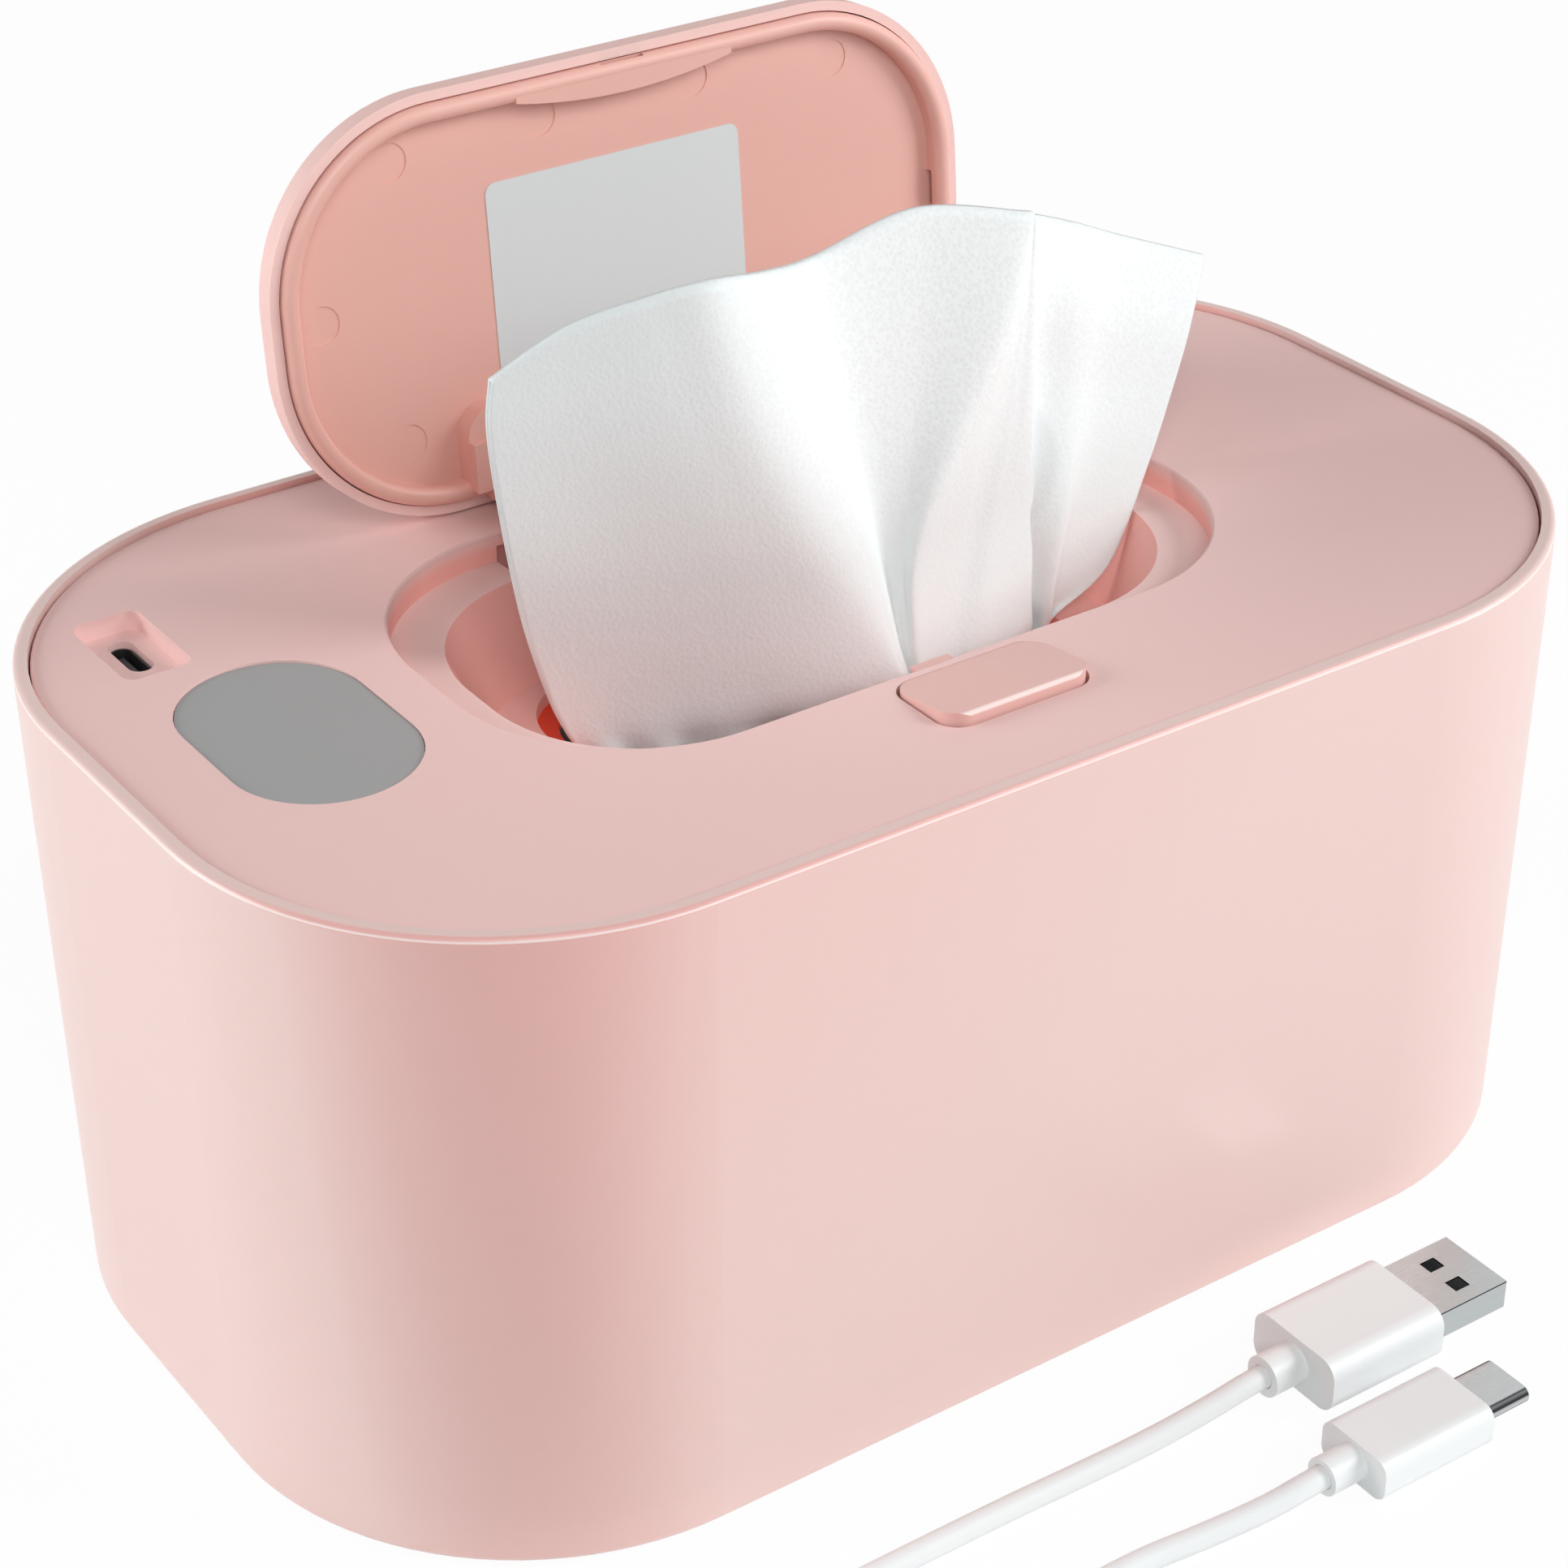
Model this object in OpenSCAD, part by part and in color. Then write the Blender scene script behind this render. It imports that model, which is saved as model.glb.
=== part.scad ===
// Warmer box for baby wipes: a tub in a drafted outer shell, under a lift-off heated cover
// with a gooseneck-hinged lid, a push button and its latch. Units are millimetres.
// +X runs along the long side, +Y to the hinge side, +Z up, and z = 0 is the surface it stands on.

/* [Outer shell] */
// Length of the shell along X, at the rim
body_l = 210; // [202:1:230]
// Width of the shell along Y, at the rim
body_w = 127.8; // [124:0.1:140]
// Height of the shell from its lower edge to its rim
body_h = 95.9; // [90:0.1:115]
// Corner radius of the shell at the rim
corner_r = 47.2; // [46:0.1:50]
// How far each wall leans in at the bottom
draft = 1.1; // [0.6:0.1:1.6]
// Wall of the shell
shell_wall = 2; // [1.6:0.1:2.4]
// Floor of the shell
shell_floor = 2.2; // [1.8:0.1:3]
// Rounding of the rim's outer edge
rim_round = 0.9; // [0.4:0.1:1.2]
// Rounding of the lower outer edge
foot_edge_round = 0.8; // [0.4:0.1:1.4]
// Width of the step that carries the tub
step_w = 2.2; // [1.8:0.1:2.8]
// Height of the step above the shell's lower edge
step_h = 68.3; // [64:0.1:70]

/* [Feet] */
// Diameter of a rubber foot
foot_d = 12; // [8:0.5:16]
// Thickness of a rubber foot
foot_t = 1.8; // [1.4:0.1:2.4]
// How far a foot stands out below the shell
foot_proud = 0.6; // [0.4:0.1:1]
// Distance between the feet along X
foot_span_x = 128; // [110:1:140]
// Distance between the feet along Y
foot_span_y = 60; // [44:1:70]

/* [Tub] */
// Wall of the tub
tub_wall = 1.6; // [1.2:0.1:2]
// Thickness of the tub's flange
flange_t = 1.8; // [1.2:0.1:2.4]
// Gap between the tub's wall and the step
tub_gap = 0.4; // [0.3:0.05:0.8]
// Gap between the tub's floor and the ribs below it
tub_float = 0.3; // [0.3:0.1:1]
// Height of the ribs on the shell's floor
floor_rib_h = 3; // [2:0.5:5]
// Lean of the tub's wall at its floor
tub_draft = 1.2; // [0.6:0.1:1.6]
// Rounding inside the tub's floor
tub_fillet = 6; // [4:0.5:9]

/* [Wipes] */
// Length of a wipe along X
wipe_l = 150; // [120:1:160]
// Length of a wipe across its fold
wipe_flat = 180; // [150:1:184]
// Height of the stack of folded wipes
stack_h = 50; // [30:1:54]
// Rounding of the stack's folded sides
stack_round = 4; // [2:0.5:6]
// Thickness of the pulled wipe, both layers together
pulled_t = 1.2; // [0.8:0.1:1.6]
// Gap between the pulled wipe and the mat at each end of the hole
pulled_gap = 2.4; // [1.6:0.1:4]

/* [Cover] */
// Drop of the deck below the rim
deck_drop = 0.8; // [0.4:0.1:1.5]
// Thickness of the deck
deck_t = 2; // [1.6:0.1:2.4]
// Gap between the deck and the shell
deck_gap = 0.25; // [0.2:0.05:0.4]
// Rounding of the deck's outer edge
deck_edge = 0.4; // [0.2:0.1:0.6]
// How far the skirt stands in from the deck's edge
skirt_inset = 1; // [0.6:0.1:1.6]
// Wall of the skirt
skirt_wall = 1.8; // [1.4:0.1:2.2]
// Thickness of the plate that closes the cover from below
under_t = 2; // [1.6:0.1:2.4]
// Thickness of the seal under the cover
seal_t = 1.4; // [1.2:0.1:2]
// Depth of the seal's groove
seal_seat = 0.4; // [0.2:0.1:0.6]
// Width of the seal
seal_w = 2.2; // [1.8:0.1:2.6]

/* [Recess and throat] */
// Length of the deck from the shell's end to the recess
deck_end = 46.35; // [45:0.05:48]
// Depth of the recess that the lid closes
recess_depth = 4.4; // [4:0.1:5.4]
// Gap between the closed lid and the recess at its ends
recess_gap_x = 2.15; // [1.6:0.05:3]
// Gap between the closed lid and the recess front and back
recess_gap_y = 2.5; // [2.2:0.1:3]
// Wall round the recess
recess_wall = 1.6; // [1.2:0.1:1.8]
// Floor of the recess at each end of the throat's mouth
mouth_end = 6.65; // [6:0.05:8]
// Floor of the recess in front of the throat's mouth and behind it
mouth_side = 6.15; // [6:0.05:7]
// Corner radius of the throat's mouth
mouth_r = 23; // [20:0.5:25]
// Depth of the throat from the recess to its ledge
throat_depth = 13.2; // [11:0.1:14]
// How far the throat's wall leans in at the ledge
throat_lean = 5.8; // [4:0.1:7]
// Thickness of the ledge
ledge_t = 2; // [1.6:0.1:2.6]
// Width of the ledge at each end of the dispensing hole
ledge_end = 7.8; // [6:0.1:10]
// Width of the ledge in front of the dispensing hole and behind it
ledge_side = 1.45; // [1:0.05:3]
// Corner radius of the dispensing hole
hole_r = 13; // [10:0.5:14]

/* [Lid] */
// Width of the lid
lid_w = 59.8; // [58:0.1:61]
// Corner radius of the lid
lid_r = 26.2; // [24:0.1:28]
// Thickness of the lid from its flange to its outer face
lid_t = 4.3; // [4:0.1:5.5]
// Rounding of the lid's outer edge
lid_round = 1.6; // [0.8:0.1:2]
// Side wall of the lid
lid_wall = 1.4; // [1.2:0.1:1.8]
// Outer plate of the lid
lid_plate = 1.6; // [1.2:0.1:1.8]
// Height of the lid's flange above the recess when it is shut
lid_lift = 1.75; // [1.6:0.05:2.2]
// Plate of the lid's inner panel
panel_t = 1.2; // [1:0.1:1.4]
// Gap between the inner panel and the lid's side wall
panel_gap = 0.2; // [0.1:0.05:0.3]
// Width of the sealing rib
rib_w = 2.5; // [2:0.1:3]
// How far the sealing rib stands out of the flange
rib_out = 1.45; // [1:0.05:1.45]
// Width of the catch on the lid's front
catch_l = 34.8; // [24:0.2:40]
// How much the catch is thicker than the rib
catch_bulge = 1.8; // [1:0.1:2.6]

/* [Hinge] */
// How far the lid opens, in degrees
open_deg = 94.5; // [90:0.5:96]
// Diameter of the hinge pin
pin_d = 2.5; // [2:0.1:3]
// Depth of the hinge axis below the deck
axis_drop = 6; // [5.8:0.1:6.2]
// Distance of the hinge axis behind the recess
axis_back = 4.2; // [4.1:0.1:4.4]
// Radius of the arm round the pin
barrel_r = 3.2; // [2.6:0.1:3.3]
// Thickness of the gooseneck
neck_t = 2.4; // [1.8:0.1:2.6]
// How far the gooseneck passes in front of the recess's rear edge
neck_reach = 3.6; // [3.4:0.1:4]
// How far the gooseneck's upper leg runs past the hinge axis, into the lug
neck_run = 5.2; // [4:0.1:5.6]
// Width of a gooseneck arm
arm_w = 5; // [4:0.1:6]
// Width of the lug that joins an arm to the lid
lug_w = 9.2; // [8:0.1:10]
// Distance of a lug's outer side from the lid's end
lug_inset = 26.8; // [26:0.1:29]
// Height of a lug out of the inner panel
lug_h = 4.8; // [4:0.1:5]
// Distance of a lug from the lid's rear edge
lug_start = 3.1; // [3:0.1:3.6]
// Length of a lug
lug_l = 7.2; // [6:0.1:8]
// Clearance of the pin in an arm, all round
pin_play = 0.05; // [0.03:0.01:0.1]
// Clearance at the sides of an arm
arm_play = 0.2; // [0.15:0.05:0.3]
// Thickness of a hinge ear
ear_t = 2; // [1.6:0.1:2.4]
// Wire of the lid spring
lid_wire = 0.8; // [0.6:0.1:0.8]
// Turns of the lid spring
lid_turns = 5; // [3:1:6]

/* [Display and port] */
// Width of the display window, along X
window_w = 25.4; // [22:0.2:26]
// Deck between the window and the port recess
window_land = 4.3; // [3.6:0.1:5.6]
// Distance of the window's middle from the shell's end
window_inset = 26.6; // [26:0.1:28]
// Thickness of the display window
window_t = 1; // [0.8:0.1:1.2]
// Drop of the window below the deck
window_drop = 0.3; // [0.2:0.1:0.4]
// Ledge under the window's edge
window_ledge = 1.5; // [1:0.1:2]
// Gap round the window
window_gap = 0.15; // [0.1:0.05:0.3]
// Distance of the port recess's middle from the shell's end
port_inset = 19.3; // [19:0.1:21]
// Distance of the port recess's middle from the shell's rear side
port_back = 31.5; // [31:0.1:33]
// Length of the port recess, along Y
port_l = 17.8; // [16:0.1:18.4]
// Width of the port recess, along X
port_w = 9.7; // [9:0.1:10.5]
// Depth of the port recess
port_depth = 2.8; // [2:0.1:3.2]
// Corner radius of the port recess
port_r = 1.8; // [1:0.1:2.4]
// Length of the socket's metal shell
socket_l = 8.94; // [8.9:0.02:9]
// Width of the socket's metal shell
socket_w = 3.16; // [3.1:0.02:3.2]
// Height of the socket
socket_h = 7.3; // [6.5:0.1:7.6]
// Gap between the socket and its slot
socket_gap = 0.18; // [0.12:0.02:0.24]

/* [Button and latch] */
// Length of the button's slot, along X
slot_l = 24.1; // [22:0.1:26]
// Width of the button's slot, along Y
slot_w = 14.3; // [13:0.1:15]
// Corner radius of the button's slot
slot_r = 3.8; // [3:0.1:4.5]
// Wall between the recess and the button's slot
slot_wall = 1.35; // [1.2:0.05:1.6]
// Gap round the button
button_gap = 0.5; // [0.3:0.05:0.7]
// How far the button's front edge stands out of the deck
button_rise = 1.8; // [1:0.1:2.2]
// Travel of the button
button_travel = 1.5; // [1:0.1:1.6]
// Thickness of the latch's nose
nose_t = 0.6; // [0.5:0.05:0.65]
// Width of the latch's nose
nose_w = 6; // [4:0.1:6.4]
// How far the nose reaches into the catch
nose_bite = 1.1; // [0.8:0.05:1.2]
// Outer diameter of a button spring
button_spring_d = 3.6; // [3:0.1:3.8]
// Wire of the button and latch springs
spring_wire = 0.5; // [0.4:0.05:0.6]
// Height of the wedge that drives the latch
wedge = 3; // [2.4:0.1:3]
// Thickness of the latch's slider
slider_t = 3.2; // [2.8:0.1:3.6]

/* [Heater] */
// Thickness of the silicone heating mat
mat_t = 1.5; // [1.2:0.1:1.8]
// How far the mat's inner edge stands into the hole
mat_lip = 3; // [1.5:0.1:4]
// How far the mat runs past the hole at each end
mat_end = 15; // [12:0.5:16]
// How far the mat runs past the hole in front and behind
mat_side = 7; // [5:0.5:8]
// Thickness of the aluminium spreader
spreader_t = 0.9; // [0.8:0.1:1.2]

/* [Cable] */
// Diameter of the cord
cord_d = 3.4; // [3.2:0.1:3.6]

/* [Hidden] */
$fn = 64;
// A small overlap that makes cuts run through
eps = 0.01;

// Levels, from the surface up
base_z = foot_proud;
rim_z = base_z + body_h;
deck_z = rim_z - deck_drop;
deck_under = deck_z - deck_t;
recess_z = deck_z - recess_depth;
ledge_z = recess_z - throat_depth;
mat_z = ledge_z - ledge_t;
spreader_z = mat_z - mat_t;
under_z = spreader_z - spreader_t;
seat_z = base_z + step_h;
flange_z = seat_z + flange_t;
under_bottom = under_z - under_t;
// The plate's rim reaches down to the seal whatever the cover's depth
seal_top = flange_z + seal_t;

// Corner axes of the shell
hub_x = body_l / 2 - corner_r;
hub_y = body_w / 2 - corner_r;
deck_r = corner_r - shell_wall - deck_gap;
skirt_r = deck_r - skirt_inset;
skirt_in_r = skirt_r - skirt_wall;
skirt_half_x = hub_x + skirt_in_r;
skirt_half_y = hub_y + skirt_in_r;

// Ribs that carry the tub's floor
floor_rib_t = 1.6;
floor_rib_l = foot_span_y * 1.5;
floor_rib_span = foot_span_x * 0.36;

// Tub
function shell_in(z) = corner_r - shell_wall - draft * (rim_z - z) / body_h;
tub_r = shell_in(seat_z) - step_w - tub_gap;
tub_floor_z = base_z + shell_floor + floor_rib_h + tub_float;
tub_in_z = tub_floor_z + tub_wall;
seal_r = tub_r - tub_wall + 0.7;

// Recess and throat
recess_l = body_l - 2 * deck_end;
lid_l = recess_l - 2 * recess_gap_x;
recess_w = lid_w + 2 * recess_gap_y;
recess_r = lid_r + 0.8;
mouth_l = recess_l - 2 * mouth_end;
mouth_w = recess_w - 2 * mouth_side;
hole_l = mouth_l - 2 * throat_lean - 2 * ledge_end;
hole_w = mouth_w - 2 * throat_lean - 2 * ledge_side;
mouth_hub_x = mouth_l / 2 - mouth_r;
mouth_hub_y = mouth_w / 2 - mouth_r;
throat_foot_r = mouth_r - throat_lean;
throat_wall = 1.8;

// Lid, drawn shut and swung open about the hinge axis
lid_z = recess_z + lid_lift;
lid_top = lid_z + lid_t;
panel_top = lid_top - lid_plate;
panel_z = panel_top - panel_t;
axis_y = recess_w / 2 + axis_back;
axis_z = deck_z - axis_drop;
lid_rear = lid_w / 2;
rib_l = lid_l - 2 * (lid_wall + panel_gap);
rib_d = lid_w - 2 * (lid_wall + panel_gap);
rib_r = lid_r - lid_wall - panel_gap;
rib_tip = lid_z - rib_out;
lug_out = lid_l / 2 - lug_inset;
lug_x = lug_out - lug_w / 2;

// Gooseneck, drawn in its open place
arm_x = lug_x - 0.6;
neck_front = recess_w / 2 - neck_reach;
neck_low = axis_z - neck_t / 2;
neck_top = deck_z + 1.9 + neck_t;
hinge_slot_x0 = arm_x - arm_w / 2 - arm_play - ear_t - 0.1;
hinge_slot_x1 = lug_out + 0.5;
hinge_slot_drop = 5.4;
hinge_slot_low = recess_z - hinge_slot_drop;
ear_out_x = arm_x + arm_w / 2 + arm_play;
coil_len = (lid_turns + 1) * lid_wire * 1.25;
ear_in_x = arm_x - arm_w / 2 - arm_play - coil_len - 0.6 - ear_t;
ear_y0 = recess_w / 2 + recess_wall;
pin_half = ear_out_x + ear_t;
coil_r = pin_d / 2 + 0.25 + lid_wire / 2;

// Button and latch
button_y = -recess_w / 2 - slot_wall - slot_w / 2;
button_l = slot_l - 2 * button_gap;
button_w = slot_w - 2 * button_gap;
button_r = slot_r - button_gap;
button_back = button_y + button_w / 2;
button_front = button_y - button_w / 2;
guide_low = deck_z - 5;
button_low = guide_low - 1.5;
nose_z = lid_z - 0.1 - nose_t;
latch_coil_r = 1.6;
catch_lip_top = nose_z - 0.1;
rib_front = -rib_d / 2;
slider_z = button_low - 6.5;
slider_top = slider_z + slider_t;
riser_y = button_back - 5.5;
riser_t = 1.6;
leg_x = nose_w / 2 + 1.6;
leg_t = 1.4;
leg_y = riser_y - 3.75;
wedge_gap = 0.14;
slider_half = leg_x + leg_t / 2 + 0.4;
slider_front = leg_y - 3;
latch_spring_l = 6;
button_spring_x = slider_half + 0.5 + button_spring_d / 2;
spring_floor = under_z + 2.5;
button_roof = deck_z - 1.8;

// Display, port and boards
window_x = body_l / 2 - window_inset;
port_x = body_l / 2 - port_inset;
port_y = body_w / 2 - port_back;
window_l = 2 * (port_y - port_l / 2 - window_land);
board_z = deck_z - 8.9;
board_t = 1.6;
board_w = window_w + 2;
board_l = window_l + 3.6;
port_board_w = 9;
port_board_l = 21;
port_floor = deck_z - port_depth;
port_under = port_floor - 2;
socket_top = port_floor - 1;
socket_bottom = socket_top - socket_h;
socket_y = port_y + 1.9;
socket_x = port_x - 0.6;
port_board_y = socket_y - 1.2;

// Screws
screw_at = [for (sx = [-1, 1]) for (sy = [-1, 0, 1])
    sy == 0 ? [sx * (skirt_half_x - 4.6), 0] : [sx * (hub_x + 2), sy * (skirt_half_y - 7)]];
boss_r = 3;
screw_r = 1.3;
screw_l = 9;
pilot_r = 1.05;
head_r = 2.3;
post_r = 2;
post_inset_x = 2;
post_inset_y = 3;
post_pilot_r = 0.85;
post_screw_l = 5;
display_posts = [for (sx = [-1, 1]) for (sy = [-1, 1])
    [-window_x + sx * (board_w / 2 - post_inset_x), sy * (board_l / 2 - post_inset_y)]];
port_posts = [for (sy = [-1, 1]) [-socket_x + 1, port_board_y + sy * (port_board_l / 2 - 2.4)]];

// Mat round the hole
mat_l = hole_l + 2 * mat_end;
mat_w = hole_w + 2 * mat_side;
mat_r = hole_r + 6;
spreader_edge = 2;
plate_hole_end = 8;
plate_hole_side = 4;
sensor_x = 2.6 - mat_l / 2;

pink = [0.93, 0.72, 0.69];
deep_pink = [0.88, 0.6, 0.56];
steel = [0.72, 0.72, 0.74];
white = [0.95, 0.95, 0.95];

// Plan of a rounded rectangle
module plan(l, w, r) {
    square([l - 2 * r, w], center = true);
    square([l, w - 2 * r], center = true);
    for (x = [-1, 1], y = [-1, 1])
        translate([x * (l / 2 - r), y * (w / 2 - r)])
            circle(r);
}

// A rounded block between two levels
module block(l, w, r, z0, z1) {
    translate([0, 0, z0])
        linear_extrude(z1 - z0)
            plan(l, w, r);
}

// The child's profile carried round a rounded rectangle: x is the distance from the corner axes
module around(hx, hy) {
    corners = [[hx, hy], [-hx, hy], [-hx, -hy], [hx, -hy]];
    for (k = [0:3])
        translate(corners[k])
            rotate([0, 0, 90 * k])
                rotate_extrude(angle = 90)
                    children();
    for (turn = [0, 180]) {
        rotate([0, 0, turn])
            translate([hx, hy, 0])
                rotate([90, 0, 0])
                    linear_extrude(2 * hy)
                        children();
        rotate([0, 0, turn + 90])
            translate([hy, hx, 0])
                rotate([90, 0, 0])
                    linear_extrude(2 * hx)
                        children();
    }
}

// The same with its middle filled between two levels
module filled(hx, hy, z0, z1) {
    around(hx, hy)
        children();
    translate([-hx, -hy, z0])
        cube([2 * hx, 2 * hy, z1 - z0]);
}

// A stadium standing along Y
module stadium(w, l) {
    square([w, l - w], center = true);
    for (y = [-1, 1])
        translate([0, y * (l - w) / 2])
            circle(w / 2);
}

module tube(r, x0, x1) {
    translate([x0, 0, 0])
        rotate([0, 90, 0])
            cylinder(r = r, h = x1 - x0);
}

// Outer shell
module shell_profile() {
    difference() {
        union() {
            polygon([
                [0, base_z],
                [corner_r - draft - foot_edge_round, base_z],
                [corner_r - draft, base_z + foot_edge_round],
                [corner_r, rim_z - rim_round],
                [corner_r - rim_round, rim_z],
                [0, rim_z]
            ]);
            translate([corner_r - draft - foot_edge_round, base_z + foot_edge_round])
                circle(foot_edge_round);
            translate([corner_r - rim_round, rim_z - rim_round])
                circle(rim_round);
        }
        polygon([
            [-1, base_z + shell_floor],
            [shell_in(base_z + shell_floor), base_z + shell_floor],
            [shell_in(seat_z - 5), seat_z - 5],
            [shell_in(seat_z) - step_w, seat_z - 1.4],
            [shell_in(seat_z) - step_w, seat_z],
            [shell_in(seat_z), seat_z],
            [shell_in(rim_z + 1), rim_z + 1],
            [-1, rim_z + 1]
        ]);
    }
}

module at_feet() {
    for (x = [-1, 1], y = [-1, 1])
        translate([x * foot_span_x / 2, y * foot_span_y / 2, 0])
            children();
}

module outer_shell() {
    color(pink)
        difference() {
            union() {
                filled(hub_x, hub_y, base_z, base_z + shell_floor)
                    shell_profile();
                for (x = [-1, 0, 1])
                    translate([x * floor_rib_span - floor_rib_t / 2, -floor_rib_l / 2, base_z + shell_floor])
                        cube([floor_rib_t, floor_rib_l, floor_rib_h]);
            }
            at_feet()
                translate([0, 0, base_z - 1])
                    cylinder(d = foot_d + 0.2, h = 1 + foot_t - foot_proud);
        }
}

module rubber_feet() {
    color([0.25, 0.25, 0.26])
        at_feet() {
            cylinder(d1 = foot_d - 0.8, d2 = foot_d, h = 0.4);
            translate([0, 0, 0.4])
                cylinder(d = foot_d, h = foot_t - 0.4);
        }
}

// Tub
module bowl_profile(r, z0, fillet, top) {
    polygon([
        [0, z0],
        [r - tub_draft - fillet, z0],
        [r - tub_draft, z0 + fillet],
        [r, top],
        [0, top]
    ]);
    translate([r - tub_draft - fillet, z0 + fillet])
        circle(fillet);
}

module inner_tub() {
    color(deep_pink)
        filled(hub_x, hub_y, tub_floor_z, tub_in_z)
            difference() {
                union() {
                    bowl_profile(tub_r, tub_floor_z, tub_fillet + tub_wall, flange_z);
                    translate([0, seat_z])
                        square([shell_in(seat_z) - 0.3, flange_t]);
                }
                bowl_profile(tub_r - tub_wall, tub_in_z, tub_fillet, flange_z + 1);
            }
}

// Wipes
module wipe_stack() {
    z0 = tub_in_z + 0.3;
    color(white)
        translate([-wipe_l / 2, 0, z0])
            rotate([90, 0, 90])
                linear_extrude(wipe_l)
                    translate([0, stack_h / 2])
                        plan(wipe_flat / 2, stack_h, stack_round);
}

// The pulled wipe is a sheet of two layers, gathered in the hole and fanned out above it. Each of
// its fold lines climbs through seven places: stack, hole, ledge, throat, deck, half height and free
// edge. The first number is a share of the hole's free half length, the others are y and the
// height above the ledge.
pulled_low = tub_in_z + stack_h + 0.6 - ledge_z;
wipe_folds = [
    [[-0.91, 1.4, pulled_low], [-1.02, 3, -4], [-1.11, 4, 1], [-1.18, 4.5, 7],
     [-1.28, 4.5, 19], [-1.36, 4, 34], [-1.39, 4, 55.2]],
    [[-0.59, 0.5, pulled_low], [-0.66, 1, -4], [-0.69, 1.5, 1], [-0.75, 1.5, 7],
     [-0.88, 1, 19], [-1.01, 0.5, 34], [-1.11, 0, 61.5]],
    [[-0.08, -2, pulled_low], [-0.08, -4, -4], [-0.09, -5.5, 1], [-0.16, -5, 7],
     [-0.32, -4.5, 19], [-0.52, -4.5, 34], [-0.82, -4, 64]],
    [[0.16, -4, pulled_low], [0.18, -8, -4], [0.19, -10, 1], [0.11, -10.3, 7],
     [-0.05, -10, 19], [-0.26, -9, 34], [-0.58, -7, 65.5]],
    [[0.25, -3.5, pulled_low], [0.27, -7, -4], [0.28, -9.5, 1], [0.26, -9, 7],
     [0.24, -6, 19], [0.16, -3.5, 34], [0.03, 0, 61.8]],
    [[0.3, -4, pulled_low], [0.32, -8, -4], [0.34, -10, 1], [0.33, -10.3, 7],
     [0.38, -9.5, 19], [0.56, -8.5, 34], [0.92, -6, 63]],
    [[0.42, -3.5, pulled_low], [0.46, -7.5, -4], [0.48, -9.5, 1], [0.53, -9, 7],
     [0.65, -7, 19], [0.78, -6.5, 34], [0.97, -5.5, 62.2]],
    [[0.78, -3.3, pulled_low], [0.87, -7, -4], [0.92, -9.5, 1], [0.95, -8.5, 7],
     [1, -6.5, 19], [1, -6, 34], [1.02, -5, 61.4]],
    [[0.88, -1.6, pulled_low], [0.99, -3.4, -4], [1.05, -4.5, 1], [1.08, -4.5, 7],
     [1.1, -3, 19], [1.11, -2.5, 34], [1.12, -2.5, 60]],
    [[0.9, -2, pulled_low], [1.01, -4.5, -4], [1.12, -6, 1], [1.22, -7, 7],
     [1.37, -4, 19], [1.5, -2.5, 34], [1.56, -1.5, 53.5]],
    [[0.92, -2.4, pulled_low], [1.03, -5.2, -4], [1.14, -7, 1], [1.34, -9, 7],
     [1.6, -7.5, 19], [1.78, -5.5, 30], [1.98, -3, 47.5]]
];
wipe_cols = 3 * (len(wipe_folds) - 1);
wipe_rows = 18;
function spline(p, t) = let (
    k = min(floor(t * (len(p) - 1)), len(p) - 2),
    f = t * (len(p) - 1) - k,
    a = p[max(k - 1, 0)],
    b = p[k],
    c = p[k + 1],
    d = p[min(k + 2, len(p) - 1)]
) 0.5 * (2 * b + (c - a) * f + (2 * a - 5 * b + 4 * c - d) * f * f + (3 * b - 3 * c + d - a) * f * f * f);
wipe_rungs = [for (j = [0:wipe_rows]) [for (fold = wipe_folds) spline(fold, j / wipe_rows)]];
function pulled_point(i, j, side) = let (p = spline(wipe_rungs[j], i / wipe_cols))
    [p[0] * (hole_l / 2 - mat_lip - pulled_gap), p[1] + side * pulled_t / 2, p[2] + ledge_z];
wipe_count = (wipe_cols + 1) * (wipe_rows + 1);
function wipe_index(i, j, side) = (side < 0 ? 0 : wipe_count) + j * (wipe_cols + 1) + i;

module pulled_wipe() {
    points = [for (side = [-1, 1]) for (j = [0:wipe_rows]) for (i = [0:wipe_cols]) pulled_point(i, j, side)];
    walls = [for (i = [0:wipe_cols - 1]) for (j = [0, wipe_rows]) [i, j, i + 1, j, j == 0]];
    ends = [for (j = [0:wipe_rows - 1]) for (i = [0, wipe_cols]) [i, j, i, j + 1, i != 0]];
    faces = concat(
        [for (j = [0:wipe_rows - 1]) for (i = [0:wipe_cols - 1]) each [
            [wipe_index(i, j, -1), wipe_index(i, j + 1, -1), wipe_index(i + 1, j + 1, -1)],
            [wipe_index(i, j, -1), wipe_index(i + 1, j + 1, -1), wipe_index(i + 1, j, -1)],
            [wipe_index(i, j, 1), wipe_index(i + 1, j + 1, 1), wipe_index(i, j + 1, 1)],
            [wipe_index(i, j, 1), wipe_index(i + 1, j, 1), wipe_index(i + 1, j + 1, 1)]
        ]],
        [for (w = concat(walls, ends)) let (
            a = wipe_index(w[0], w[1], -1),
            b = wipe_index(w[2], w[3], -1),
            c = wipe_index(w[2], w[3], 1),
            d = wipe_index(w[0], w[1], 1)
        ) each (w[4] ? [[a, b, c], [a, c, d]] : [[a, c, b], [a, d, c]])]
    );
    color(white)
        polyhedron(points = points, faces = faces, convexity = 10);
}

// Cover
module mirror_pair() {
    for (side = [0, 1])
        mirror([side, 0, 0])
            children();
}

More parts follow.
